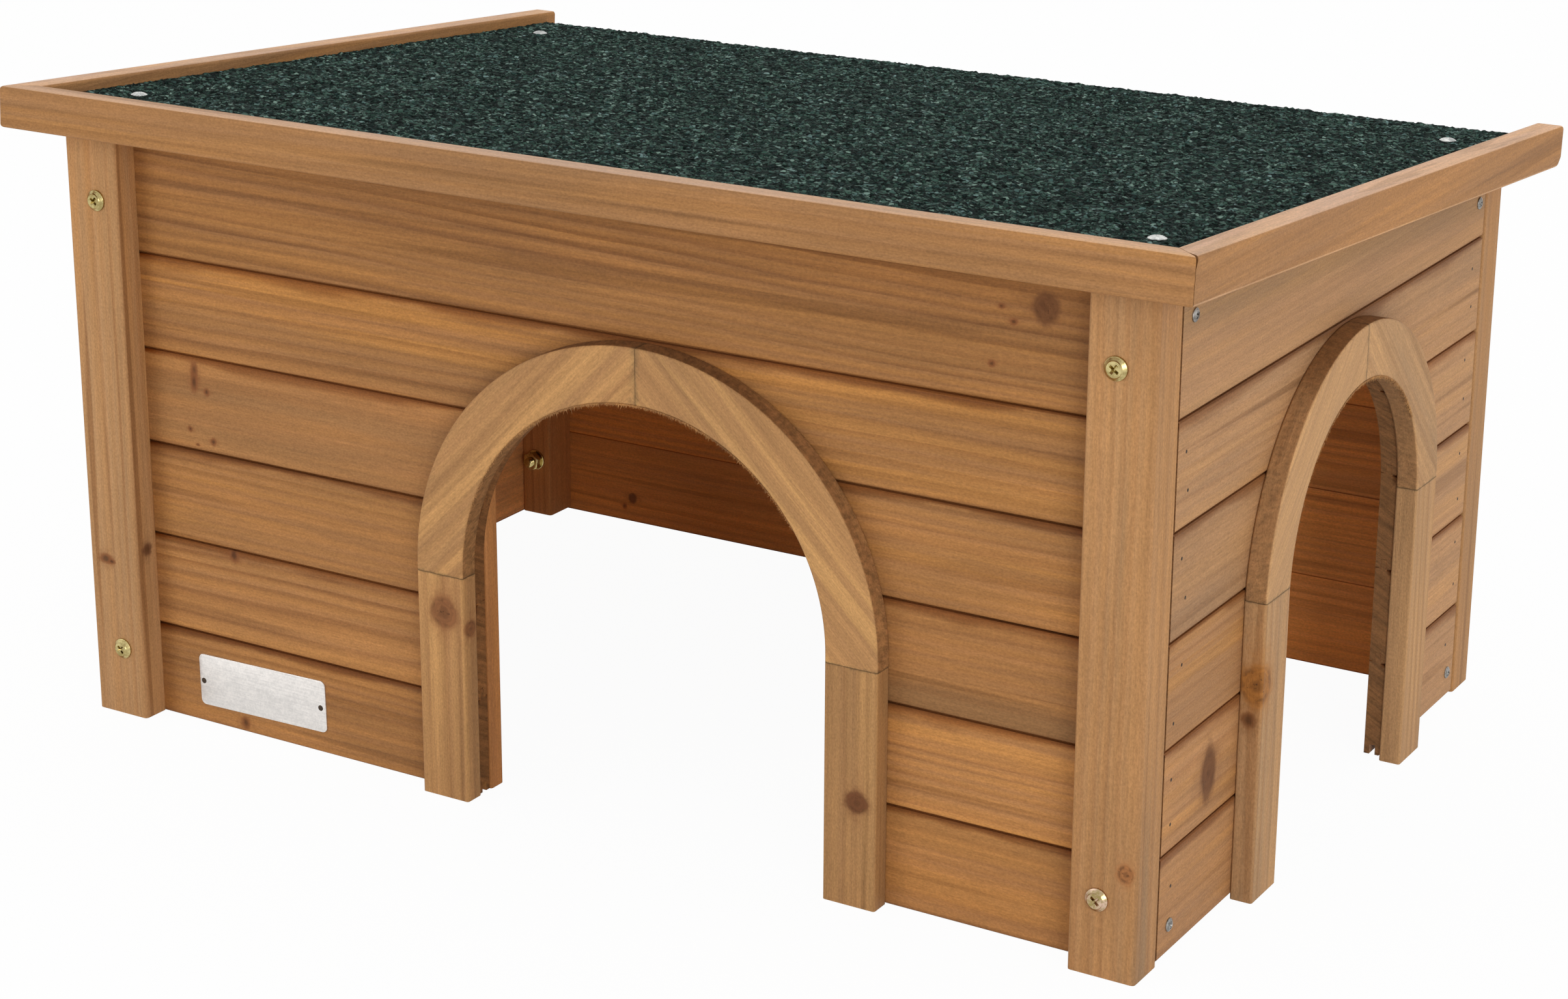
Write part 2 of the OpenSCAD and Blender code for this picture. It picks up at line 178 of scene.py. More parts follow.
def finish_material(s, colour, roughness, height, metallic=0.0, specular=0.5, bump=0.5, depth=0.5 * MM):
    """The shader, its relief and the output. Uniform values are set on the shader's own sockets."""
    shader = s.node("BsdfPrincipled", {"Base Color": colour, "Roughness": roughness, "Metallic": metallic,
                                       "Specular IOR Level": specular})
    relief = s.node("Bump", {"Strength": bump, "Distance": depth, "Height": height})
    s.put(shader.inputs["Normal"], relief.outputs["Normal"])
    s.node("OutputMaterial", {"Surface": shader.outputs["BSDF"]})


# ---------------- wood

# Painted light: how much lighter the shaded faces deep in the grooves between boards are made, in red, green
# and blue
GROOVE_PAINTED_LIGHT = (1.15, 1.05, 0.95)
# What the painted shade along board edges and beside the posts, and the dark inner joint line, take from red,
# green and blue
DARKENING_TAKES = (0.85, 1.1, 1.3)


def wood_group():
    """Stained softwood in wood coordinates: x along the grain, y across the face, z into the wood, in metres.
    edges says how far every surface but the face counts as sawn. A board's face runs from low to high at the
    depth face, and sign is 1 or -1 as z runs into the board or out of it, or 0 where the piece is no board.
    post is how far from the middle a post stands on the face, or 0."""
    tree, given, result = new_group(
        "wood",
        {"Vector": ("place", "normal"), "Color": ("base", "ring", "warm", "cool", "end"),
         "Float": ("seed", "pitch", "pith_y", "pith_z", "taper", "bulge", "rings", "warmth", "grey", "lines",
                   "edges", "low", "high", "face", "sign", "post")},
        {"Color": ("colour",), "Float": ("height", "roughness")})
    s = Shader(tree)
    shift = s.vector("MULTIPLY", s.join(given.seed, given.seed, given.seed), (1.37, 0.83, 0.59))
    place = s.vector("ADD", given.place, shift)
    x, y, z = s.split(given.place)

    # Growth rings round a pith that runs nearly along the piece, each with a dark late part
    slow = s.ripple(place, 0.14, 8, 2, 0.4)
    quick = s.ripple(place, 0.16, 34, 2, 0.5)
    across = s.minus(y, given.pith_y)
    deep = s.minus(s.times_plus(x, given.taper, z), given.pith_z)
    distance = s.vector("LENGTH", s.join(0.0, across, deep))
    distance = s.times_plus(slow, 22 * MM, s.times_plus(quick, 5.5 * MM, distance))
    distance = s.math("ADD", distance, given.bulge)
    uneven = s.product(s.math("SINE", s.product(distance, 210)), 0.3)
    ring = s.math("ADD", s.math("DIVIDE", distance, given.pitch), uneven)
    part = s.math("FRACT", ring)
    late = s.product(s.between(part, 0.28, 0.84), s.between(part, 1.0, 0.9))
    year = s.join(s.math("FLOOR", ring), given.seed, 0.0)
    strength = s.node("TexWhiteNoise", {"Vector": year}).outputs["Value"]
    fade = s.between(s.noise(place, 0.1, 22), 0.36, 0.6, 0.3, 1.0)
    late = s.product(late, s.evenly(strength, 0, 1, 0.25, 1.0), fade)

    # Bands of warmer and greyer stain, thin dark lines, clouds, streaks, fibres and specks
    warm = s.between(s.noise(place, 0.03, 95, 3, 0.6), 0.44, 0.62)
    grey = s.between(s.noise(place, 0.06, 27, 4, 0.6), 0.44, 0.62)
    line = s.between(s.noise(place, 0.018, 130, 2, 0.5), 0.60, 0.68)
    cloud = s.noise(place, 0.3, 24, 3, 0.55)
    streak = s.noise(place, 0.013, 420, 3, 0.65)
    fibre = s.noise(place, 0.07, 1500, 2, 0.6)
    speck = s.noise(place, 0.6, 1250, 2, 0.6)
    glow = s.product(s.between(part, 0.0, 0.45), s.between(part, 0.9, 0.6), given.rings, 0.5)
    colour = s.mix(s.larger(s.product(warm, given.warmth), glow), given.base, given.warm)
    colour = s.mix(s.product(grey, given.grey), colour, given.cool)
    colour = s.mix(s.product(late, given.rings), colour, given.ring)
    colour = s.mix(s.product(line, given.lines), colour, s.scaled(given.ring, 0.72))

    # Sawn ends and edges: darker, with marks across the thickness
    normal_x, _, normal_z = s.split(s.vector("ABSOLUTE", given.normal))
    end = s.between(normal_x, 0.55, 0.95)
    edge = s.product(s.between(normal_z, 0.75, 0.35), given.edges)
    sawn = s.larger(end, edge)
    askew = s.join(x, s.times_plus(z, 0.55, y), z)
    marks = s.noise(s.vector("ADD", askew, shift), (1, 1, 0.09), 430, 3, 0.65)
    sawn_colour = s.scaled(given.end, s.evenly(marks, 0.36, 0.64, 0.6, 1.3))
    plain = colour
    colour = s.mix(s.product(sawn, 0.85), colour, sawn_colour)

    # Painted light in the grooves between boards, painted shade along the edges of each board face and beside
    # the posts, and a dark joint line along the lower edge of the inner face
    depth = s.product(s.minus(z, given.face), given.sign)
    above = s.minus(y, given.low)
    below = s.minus(given.high, y)
    joint = s.larger(*(s.between(away, 1.2 * MM, 0.6 * MM) for away in (s.math("ABSOLUTE", above), below)))
    # painted light: the faces deep in the grooves between boards are lightened
    sunk = s.product(s.between(depth, 0.6 * MM, 1.2 * MM), s.between(depth, 6.5 * MM, 5 * MM), joint,
                     s.between(normal_x, 0.12, 0.04))
    colour = s.mix(sunk, colour, s.vector("MULTIPLY", plain, GROOVE_PAINTED_LIGHT))
    ragged = s.evenly(s.noise(place, 0.2, 55, 3, 0.6), 0.36, 0.64, 0.35, 1.7)
    # painted shade along the lower and upper edges of each board face, beside the joints
    lower = s.between(s.math("DIVIDE", above, ragged), 0.0, 2.2 * MM, 0.2, 0.0)
    upper = s.between(s.math("DIVIDE", below, ragged), 0.0, 5.5 * MM, 0.56, 0.0)
    outside = s.product(s.between(depth, 3 * MM, 1 * MM), s.math("ABSOLUTE", given.sign))
    inner_line = s.product(s.between(above, 0.9 * MM, 0.3 * MM, 0.0, 0.66), s.between(depth, 6 * MM, 8 * MM))
    # painted shade on the boards beside the posts
    near_post = s.between(s.math("ABSOLUTE", x), given.post, s.minus(given.post, 15 * MM), 0.2, 0.0)
    painted_post_shade = s.product(near_post, s.between(given.post, 0.0, 0.1), outside)
    # painted shade along the edges and beside the posts, plus the dark joint line on the inner face
    dirt_and_shade = s.times_plus(s.math("ADD", lower, upper), outside, s.math("ADD", inner_line, painted_post_shade))

    contrasts = ((cloud, 0.90, 1.08), (streak, 0.89, 1.1), (fibre, 0.93, 1.08), (speck, 0.86, 1.14))
    shade = s.product(*(s.evenly(noise, 0.3, 0.7, dark, light) for noise, dark, light in contrasts))
    kept = s.join(*(s.times_plus(dirt_and_shade, -loss, 1.0) for loss in DARKENING_TAKES))
    s.put(result["colour"], s.vector("MULTIPLY", s.scaled(colour, shade), kept))
    relief = s.times_plus(late, 0.25, s.times_plus(fibre, 0.6, s.product(speck, 0.6)))
    s.put(result["height"], s.times_plus(s.product(sawn, marks), 1.6, relief))
    s.put(result["roughness"], s.times_plus(sawn, 0.3, s.evenly(cloud, 0.3, 0.7, 0.54, 0.66)))
    return tree


def knot_group():
    """One knot: how far it pushes the rings aside, and its heart, with rings of its own where ringed is 1."""
    tree, given, result = new_group(
        "knot",
        {"Vector": ("place", "centre"), "Float": ("radius", "slim", "ringed", "bulge"),
         "Color": ("colour", "knot_colour")},
        {"Float": ("bulge",), "Color": ("colour",)})
    s = Shader(tree)
    offset = s.vector("SUBTRACT", given.place, given.centre)
    radii = s.join(given.radius, given.radius, given.radius)
    along, across, deep = s.split(s.vector("DIVIDE", offset, radii))
    around = s.join(along, s.product(across, given.slim), deep)
    seeded = s.vector("ADD", around, s.scaled(given.centre, 900))
    wobble = s.ripple(seeded, 1, 1.1, 4, 0.65)
    rough = s.ripple(given.place, 0.4, 900, 2, 0.6)
    reach = s.times_plus(wobble, 0.75, s.times_plus(rough, 0.07, s.vector("LENGTH", around)))
    wide = s.vector("LENGTH", s.vector("MULTIPLY", around, (0.38, 0.75, 0.6)))
    fall = s.math("EXPONENT", s.product(wide, wide, -0.6))
    s.put(result["bulge"], s.math("ADD", s.product(fall, given.radius, 1.3, given.ringed), given.bulge))
    halo = s.product(s.between(s.times_plus(wobble, 1.6, wide), 1.25, 0.3), 0.62)
    colour = s.mix(halo, given.colour, s.mix(0.5, given.colour, given.knot_colour))
    patchy = s.between(wobble, -0.1, 0.1, 0.15, 0.75)
    rim = s.product(s.between(reach, 0.45, 0.85), s.between(reach, 1.3, 0.9), patchy)
    rings = s.product(s.between(s.math("FRACT", s.product(reach, 3.0)), 0.1, 0.8), 0.34)
    core = s.product(s.between(s.times_plus(wobble, 0.8, reach), 0.7, 0.1), 0.6)
    splits = s.between(s.noise(seeded, (1.2, 0.5, 1), 3.2, 3, 0.7), 0.56, 0.64)
    cracks = s.product(splits, s.between(reach, 0.7, 0.4))
    dark = s.larger(s.larger(rings, rim), s.larger(core, cracks))
    plain = s.product(s.between(reach, 0.9, 0.2), s.minus(1.0, given.ringed))
    darkness = s.math("ADD", s.product(dark, given.ringed), plain)
    heart = s.mix(darkness, given.knot_colour, KNOT_DARK)
    cover = s.between(reach, 1.5, 0.75, 0.0, s.times_plus(given.ringed, 0.08, 0.8))
    s.put(result["colour"], s.mix(cover, colour, heart))
    return tree


KNOT_BROWN = (126, 76, 42)
KNOT_DARK = linear(72, 40, 20)
SMALL_KNOT = 3.5 * MM
WOOD = wood_group()
KNOT = knot_group()

# Which axes run along the grain, across the face and into the wood
ALONG_X = (X, Z, Y)
ALONG_X_ROOF = (X, Y, Z)
ALONG_Y = (Y, Z, X)
ALONG_Z_FRONT = (Z, X, Y)
ALONG_Z_SIDE = (Z, Y, X)


def palette(*colours):
    """Colours of the plain wood, its late rings, its warm and cool bands and its sawn ends."""
    return dict(zip(("base", "ring", "warm", "cool", "end"), (linear(*colour) for colour in colours)))


BOARD = palette((163, 114, 69), (120, 76, 41), (188, 130, 66), (142, 103, 65), (116, 76, 43))
POST = palette((175, 130, 86), (146, 98, 57), (188, 134, 76), (156, 124, 90), (126, 90, 54))
TRIM = palette((172, 127, 82), (138, 96, 58), (210, 160, 100), (148, 112, 76), (140, 98, 60))
SIDE = palette((173, 131, 92), (146, 103, 66), (192, 144, 92), (158, 122, 88), (112, 76, 45))
LOW_SIDE = palette((173, 127, 85), (142, 95, 56), (188, 136, 82), (156, 116, 80), (112, 76, 44))
SIDE_TRIM = palette((184, 142, 99), (154, 112, 72), (204, 158, 106), (158, 126, 92), (138, 98, 62))
RAIL = palette((162, 117, 75), (134, 92, 54), (180, 127, 70), (144, 109, 77), (126, 88, 52))
INNER = palette((184, 124, 72), (132, 80, 40), (196, 132, 70), (150, 104, 66), (110, 70, 38))
# Painted light on the rails' faces that look up
RAIL_TOP_PAINTED_LIGHT = (212, 170, 138)
# Painted highlight on the side rails' eased lower edges
RAIL_RIM_PAINTED_HIGHLIGHT = (194, 149, 107)
ARCH_TOP = (148, 107, 68)
# Painted light on the faces that look into the hutch: lighter and redder
INSIDE_PAINTED_LIGHT = (1.86, 1.6, 1.26)
SEAM_STAIN = (0.82, 0.92, 0.98)
# Painted shadow below the side rails on the highest side boards, and the depths under the rails' lower edge
# over which it fades in
EAVES_PAINTED_SHADOW = (0.84, 0.88, 0.86)
EAVES_SHADOW_REACH = (27 * MM, 14 * MM)


def in_wood(place, axes, turn):
    """A place in the frame, in the coordinates of a wooden piece."""
    return Matrix.Rotation(turn, 3, "Z") @ Vector([place[axis] for axis in axes])


def wood(name, axes, seed, colours, tone=1.0, turn=0.0, pith=(0.02, 0.05), knots=(), seams=(), top=None,
         rim=None, eaves=None, inward=None, **values):
    """A wood material. pith is where the heart of the tree lies, in wood coordinates. Knots are (place,
    radius, slimness, colour), seams (axis, place, width). top is the colour of faces that look up: painted
    light on the rails, a darker rim on the arches. rim is a painted highlight on edges that look down, and
    inward the direction into the hutch, whose faces get painted light that makes them lighter and redder.
    eaves is how high the roof's edge passes over the middle, and its fall; a painted shadow lies below it.
    The other values go to the wood group as they are."""
    material, s = new_material(name)
    texture = s.node("TexCoord").outputs
    placed = s.split(texture["Object"])
    facing = s.split(texture["Normal"])
    place = s.join(*(placed[axis] for axis in axes))
    normal = s.join(*(facing[axis] for axis in axes))
    if turn:
        place, normal = s.turned(place, turn), s.turned(normal, turn)
    bulge = 0.0
    hearts = []
    for centre, radius, slim, colour in knots:
        inputs = {"place": place, "centre": in_wood(centre, axes, turn), "radius": radius, "slim": slim,
                  "bulge": bulge, "ringed": float(radius > SMALL_KNOT), "knot_colour": colour}
        hearts.append(s.node("Group", inputs, node_tree=KNOT))
        bulge = hearts[-1].outputs["bulge"]
    toned = {key: tuple(c * tone for c in value[:3]) + (1.0,) for key, value in colours.items()}
    inputs = {"place": place, "normal": normal, "seed": seed, "pith_y": pith[0], "pith_z": pith[1],
              "bulge": bulge, "pitch": 6.5 * MM, "lines": 0.35, **toned, **values}
    grain = s.node("Group", inputs, node_tree=WOOD)
    colour = grain.outputs["colour"]
    for knot in hearts:
        s.put(knot.inputs["colour"], colour)
        colour = knot.outputs["colour"]
    for axis, where, width in seams:
        away = s.math("ABSOLUTE", s.minus(placed[axis], where))
        away = s.math("DIVIDE", away, s.evenly(s.noise(place, 1, 260, 3, 0.6), 0.36, 0.64, 0.25, 1.8))
        dirt_and_shade = s.product(s.between(away, 0.0, 0.5 * MM, 0.7, 1.0), s.between(away, 0.0, width, 0.8, 1.0))
        colour = s.scaled(s.changed(colour, s.between(away, width, 0.0, 0.0, 0.5), SEAM_STAIN), dirt_and_shade)
    # painted light on the faces that look into the hutch
    if inward is not None:
        inside = s.between(s.vector("DOT_PRODUCT", texture["Normal"], inward), 0.5, 0.9)
        colour = s.changed(colour, inside, INSIDE_PAINTED_LIGHT)
    # top: painted light on the rails' faces that look up, the arches' darker rims; rim: painted highlight on
    # the side rails' lower edges
    for wanted, tilt in ((top, (0.75, 0.95)), (rim, (-0.12, -0.4))):
        if wanted is not None:
            change = tuple(new / old for new, old in zip(linear(*wanted)[:3], colours["base"]))
            colour = s.changed(colour, s.between(facing[Z], *tilt), change)
    # painted shadow on the board below the side rail
    if eaves is not None:
        under = s.minus(eaves[0], s.times_plus(placed[Y], eaves[1], placed[Z]))
        colour = s.changed(colour, s.between(under, *EAVES_SHADOW_REACH), EAVES_PAINTED_SHADOW)
    finish_material(s, colour, grain.outputs["roughness"], grain.outputs["height"], specular=0.14)
    return material


# ---------------- wood on the CAD pieces


def corner(name, high=False):
    """Lowest or highest corner of a CAD piece's box."""
    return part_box(name)[1 if high else 0]


def knot_at(x, y, z, radius, slim=1.0, colour=KNOT_BROWN):
    """A knot, its place and radius in millimetres."""
    return Vector((x, y, z)) * MM, radius * MM, slim, linear(*colour)


def look(tone=None, rings=None, warmth=None, grey=None, knots=(), **more):
    """What sets one piece apart in the photograph. What isn't given is left to its group or to chance."""
    given = {"tone": tone, "rings": rings, "warmth": warmth, "grey": grey, **more}
    found = {"knots": [knot_at(*knot) for knot in knots]}
    return found | {key: value for key, value in given.items() if value is not None}


LOOKS = {
    "front_board_6": look(0.87, 0.7, 0.5, 0.3, pitch=5.8 * MM, taper=0.02, knots=[
        (241, -195, 294, 5.6, 0.9, (112, 72, 42)), (226, -195, 286, 1.8, 1.2),
        (220, -195, 292, 1.5, 1.2), (216, -195, 266, 1.6)]),
    "front_board_5": look(0.95, 0.6, 0.8, 0.4, pitch=6 * MM),
    "front_board_4_left": look(1.08, 0.16, 0.25, 0.7, lines=0.15, knots=[
        (-235, -195, 192, 2.1, 0.45), (-235.5, -195, 186, 2.2, 0.4),
        (-227.5, -195, 182, 1.7, 0.8), (-239.5, -195, 160.5, 1.5),
        (-224.5, -195, 156, 1.8, 0.9), (-235, -195, 152.8, 1.2, 1.5)]),
    "front_board_3_left": look(0.98, 0.6, 0.6, 0.4),
    "front_board_2_left": look(1.11, 0.75, 0.55, 0.35, knots=[(-214.5, -195, 97, 3.0, 0.8)]),
    "front_board_1_left": look(0.95, 0.6, 0.4, 0.5, pitch=5.5 * MM, knots=[(-212, -195, 5, 2.6, 0.8)]),
    "front_board_4_right": look(0.98, 0.6, 0.7, 0.4),
    "front_board_3_right": look(0.91, 0.5, 0.15, 0.9, lines=0.9),
    "front_board_2_right": look(1.16, 0.85, 0.75, 0.3),
    "front_board_1_right": look(1.0, 0.4, 0.5, 0.4),
    "front_post_left": look(1.04, 0.75, 0.5, 0.4, lines=0.6, knots=[
        (-289.6, -210, 85.3, 2.5, 0.55), (-285.5, -210, 84.3, 1.3, 0.6),
        (-267.5, -202.5, 92, 3.0, 1.9, (96, 60, 40))]),
    "front_post_right": look(0.94, 0.4, 0.15, 0.9, knots=[(294, -210, 52, 4.2, 1.1, (170, 112, 66))]),
    "front_jamb_left": look(0.93, 0.5, 0.5, 0.5, knots=[
        (-73, -206.5, 97.8, 7.6, 1.0, (141, 91, 56)), (-61, -201, 90, 4.0, 1.0, (140, 90, 54))]),
    "front_jamb_right": look(0.84, 0.5, 0.5, 0.4, knots=[(158.7, -206.5, 52, 5.0, 0.9, (108, 64, 38))]),
    "front_arch_left": look(0.94, 0.34, 0.5, 0.5, pitch=6.2 * MM, lines=0.2),
    "front_arch_right": look(0.94, 0.3, 0.9, 0.3, pitch=8.5 * MM, lines=0.2),
    "right_board_6": look(0.97, 0.16, 0.35, 0.3, lines=0.2),
    "right_board_5": look(1.02, 0.4, 0.45, 0.6, lines=0.6),
    "right_board_4_front": look(0.92, 0.3, 0.3, 0.5),
    "right_board_3_front": look(0.89, 0.45, 0.95, 0.4),
    "right_board_2_front": look(0.98, 0.5, 0.85, 0.6, knots=[(300, -138.7, 74.5, 7, 0.6, (112, 72, 44))]),
    "right_board_1_front": look(0.96, 0.4, 0.9),
    "right_board_1_rear": look(1.1),
    **{f"right_board_{row}_rear": look(1.12) for row in (2, 3, 4)},
    "side_jamb_front": look(0.98, 0.6, 0.6, knots=[
        (308.5, -107.5, 107, 9, 0.9, (176, 116, 54)), (305, -107.5, 90, 3.4, 1.3, (112, 70, 40))]),
    "side_arch_front": look(0.95, 0.35, 0.4, 0.4),
    "side_arch_rear": look(0.96, 0.45, 0.4, 0.6),
    "side_jamb_rear": look(0.93, 0.5, 0.3, 0.7),
    "roof_rail_front": look(0.92, 0.4, 0.55, 0.4, lines=0.5, pitch=9 * MM),
    "roof_rail_right": look(1.06, 0.4, 0.4, 0.3, pitch=9 * MM),
    "rear_board_1": look(rings=0.5, taper=0.0, knots=[
        (-225, 187, 15, 2.6, 0.9, (70, 36, 18)), (-231, 187, 9, 1.5, 0.8)]),
    "rear_board_2": look(rings=1.0, warmth=0.5, pitch=4.5 * MM, taper=0.0),
    "rear_board_3": look(rings=0.8, warmth=0.5, pitch=5 * MM, taper=0.0),
}
# What chance gives every piece, in the order of the draws: how far the pith lies off, then the rest
PITH_AWAY = ((0.05, 0.13), (0.015, 0.06))
CHANCE = {"tone": (0.95, 1.04), "rings": (0.4, 0.75), "warmth": (0.3, 0.7), "grey": (0.2, 0.6),
          "pitch": (4.5 * MM, 7.5 * MM), "taper": (-0.03, 0.03)}
# Colours, axes and the direction into the hutch
BOARD_KINDS = {"front": (BOARD, ALONG_X, (0, 1, 0)), "rear": (BOARD, ALONG_X, (0, -1, 0)),
               "right": (SIDE, ALONG_Y, (-1, 0, 0)), "left": (SIDE, ALONG_Y, (1, 0, 0))}
GOLDEN = ("right_board_1_front", "right_board_2_front", "right_board_3_front")
SIDE_GRAIN = {"rings": 0.22, "grey": 0.3, "taper": 0.006}
BOARD_FACE, NO_GROOVE = 49 * MM, 1.0
WELD = 0.002 * MM
FINE_EDGED = ("_arch_", "_jamb_", "_board_", "_post_")
BORED = ("left_board_", "right_board_")
METAL_OR_FELT = ("roof_felt", "roof_screws", "side_screws", "corner_bolts", "corner_washers", "corner_nuts")


def eaves_line():
    """Height at which the lower edge of the side rails passes y = 0, and how far it falls per metre."""
    low, fall = corner("roof_rail_front"), math.tan(ROOF_SLOPE)
    return low.z + low.y * fall, fall


def board_kind(name):
    """Looks of a board, whose face stops short of its upper edge by the groove's height."""
    side, _, row = name.split("_")[:3]
    colours, axes, inward = BOARD_KINDS[side]
    low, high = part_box(name)
    _, across, deep = axes
    settings = {"edges": 1.0, "inward": inward, "sign": inward[deep], "low": low[across],
                "high": low[across] + BOARD_FACE, "face": (low if inward[deep] > 0 else high)[deep]}
    if row == "6":
        settings["high"] = high[across] + NO_GROOVE
    if side == "front":
        # the boards are painted darker beside the posts, as shade
        settings["post"] = corner("front_post_right").x
    if axes is ALONG_Y:
        settings |= SIDE_GRAIN
        # the highest side boards get a painted shadow under the side rails
        settings["eaves"] = eaves_line() if row == "6" else None
    return LOW_SIDE if name in GOLDEN else colours, axes, settings


def wood_kind(name):
    """Colours, axes and the fixed settings of a wooden piece."""
    if "_board_" in name:
        return board_kind(name)
    if name == "roof_panel":
        return INNER, ALONG_X_ROOF, {}
    # Rails: painted light on their tops, and on the side rails a painted highlight along the lower edges
    if name == "roof_rail_front":
        return RAIL, ALONG_X, {"top": RAIL_TOP_PAINTED_LIGHT}
    if "rail" in name:
        return RAIL, ALONG_Y, {"top": RAIL_TOP_PAINTED_LIGHT, "rim": RAIL_RIM_PAINTED_HIGHLIGHT}
    if "batten" in name:
        return INNER, ALONG_Z_FRONT, {}
    if "_arch_" in name:
        settings = {"turn": math.radians(-45 if name.endswith(("_left", "_front")) else 45), "top": ARCH_TOP}
        level = (Z, corner(name).z, 1.2 * MM)
        if name.startswith("front"):
            mitre = (X, corner("front_arch_right").x, 3.4 * MM)
            return TRIM, ALONG_Z_FRONT, {**settings, "edges": 0.9, "seams": (mitre, level)}
        mitre = (Y, corner("side_arch_rear").y, 1.6 * MM)
        return SIDE_TRIM, ALONG_Z_SIDE, {**settings, "edges": 0.7, "seams": (mitre, level)}
    if "_jamb_" in name:
        colours, axes = (TRIM, ALONG_Z_FRONT) if name.startswith("front") else (SIDE_TRIM, ALONG_Z_SIDE)
        return colours, axes, {"seams": ((Z, corner(name, high=True).z, 1.0 * MM),)}
    return POST, ALONG_Z_FRONT, {}


def dress(name, material):
    """Gives a CAD node its material and, unless it is bored for screws, finely eased edges."""
    piece = nodes[name]
    piece.data.materials.clear()
    piece.data.materials.append(material)
    if name.startswith(BORED):
        return
    piece.modifiers.new("joined", "WELD").merge_threshold = WELD
    bevel = piece.modifiers.new("eased", "BEVEL")
    bevel.width = 0.12 * MM if any(word in name for word in FINE_EDGED) else 0.35 * MM
    bevel.segments = 2
    bevel.limit_method = "ANGLE"
    bevel.angle_limit = math.radians(35)
    normals = piece.modifiers.new("even", "WEIGHTED_NORMAL")
    normals.mode = "FACE_AREA"
    normals.weight = 100


def dress_wood():
    rng = random.Random(7)
    for name in sorted(nodes):
        if name in METAL_OR_FELT:
            continue
        colours, axes, settings = wood_kind(name)
        middle = in_wood(sum(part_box(name), Vector()) / 2, axes, settings.get("turn", 0.0))
        pith = [at + rng.choice((-1, 1)) * rng.uniform(*away) for at, away in zip(middle.yz, PITH_AWAY)]
        drawn = {key: rng.uniform(*span) for key, span in CHANCE.items()}
        settings = {**drawn, "pith": pith, **settings, **LOOKS.get(name, {})}
        dress(name, wood(name, axes, rng.uniform(0, 50), colours, **settings))


dress_wood()


# ---------------- metal and felt


def metal(name, colour, dull, roughness, brushed=None, bump=0.15, tarnish=None):
    """Plated metal. brushed is how much x is squeezed to make brush strokes, and tarnish a second hue that
    comes up towards the lower right of the hutch."""
    material, s = new_material(name)
    place = s.node("TexCoord").outputs["Object"]
    spots = s.noise(place, 1, 900, 3, 0.6)
    cloudy = s.noise(place, 1, 180, 2, 0.5)
    height = spots
    if brushed is not None:
        strokes = s.noise(place, brushed, 1800, 3, 0.7)
        height = s.times_plus(strokes, 1.5, spots)
        cloudy = s.times_plus(strokes, 0.7, s.product(cloudy, 0.3))
    tint = s.between(s.times_plus(spots, 0.4, s.product(cloudy, 0.6)), 0.36, 0.64)
    plated = s.mix(tint, dull, colour)
    if tarnish is not None:
        x, _, z = s.split(place)
        plated = s.mix(s.between(s.minus(x, z), 0.1, 0.2, 0.0, 0.85), plated, s.mix(tint, dull, tarnish))
    sheen = s.between(cloudy, 0.35, 0.65, roughness - 0.07, roughness + 0.12)
    finish_material(s, plated, sheen, height, metallic=1.0, bump=bump, depth=0.1 * MM)
    return material


YELLOW_ZINC = metal("yellow_zinc", linear(208, 192, 136), linear(158, 140, 90), 0.22, bump=0.05,
                    tarnish=linear(216, 184, 166))
WHITE_ZINC = metal("white_zinc", linear(222, 222, 218), linear(168, 170, 168), 0.32)
DULL_ZINC = metal("dull_zinc", linear(172, 169, 164), linear(100, 97, 92), 0.34)
PLATE_METAL = metal("plate_metal", linear(232, 227, 222), linear(210, 206, 202), 0.42, 0.02, bump=0.08)
NAIL_METAL = metal("nail_metal", linear(82, 70, 60), linear(46, 38, 32), 0.5)

# Share of the grains up to each colour, from the darkest slate to the palest
SLATE = ((0.0, (10, 21, 18)), (0.4, (29, 49, 43)), (0.72, (57, 83, 72)), (0.93, (86, 113, 102)),
         (1.0, (126, 152, 140)))
BLUER = (0.9, 0.95, 1.25)


def felt_material():
    """Dark green slate grains, pressed into bitumen."""
    material, s = new_material("roofing_felt")
    place = s.node("TexCoord").outputs["Object"]
    wobble = s.node("TexNoise", {"Vector": place, "Scale": 500.0, "Detail": 2.0}).outputs["Color"]
    place = s.vector("ADD", place, s.scaled(s.vector("SUBTRACT", wobble, (0.5, 0.5, 0.5)), 1.2 * MM))
    grains, edges = (s.node("TexVoronoi", {"Vector": place, "Scale": 400.0}, feature=feature).outputs
                     for feature in ("F1", "DISTANCE_TO_EDGE"))
    pick, hue, _ = s.split(grains["Color"])
    colour = s.ramp(pick, SLATE)
    colour = s.changed(colour, s.between(hue, 0.55, 0.95, 0.0, 0.5), BLUER)
    crack = s.between(edges["Distance"], 0.0, 0.2, 0.14, 1.0)
    cloud = s.evenly(s.noise(place, 1, 45, 3, 0.6), 0.3, 0.7, 0.86, 1.14)
    colour = s.scaled(colour, s.product(crack, cloud))
    roughness = s.evenly(pick, 0, 1, 0.95, 0.7)
    finish_material(s, colour, roughness, edges["Distance"], specular=0.12, bump=0.8, depth=1.2 * MM)
    return material


# ---------------- making pieces


def new_piece(name, mesh, material, stands_for=()):
    """Puts a mesh of the script's own in the scene, on the one body."""
    mesh.name = name
    mesh.materials.append(material)
    piece = bpy.data.objects.new(name, mesh)
    bpy.context.scene.collection.objects.link(piece)
    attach(piece, "root")
    if stands_for:
        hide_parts(*stands_for)


Solid = namedtuple("Solid", "low high centre size")


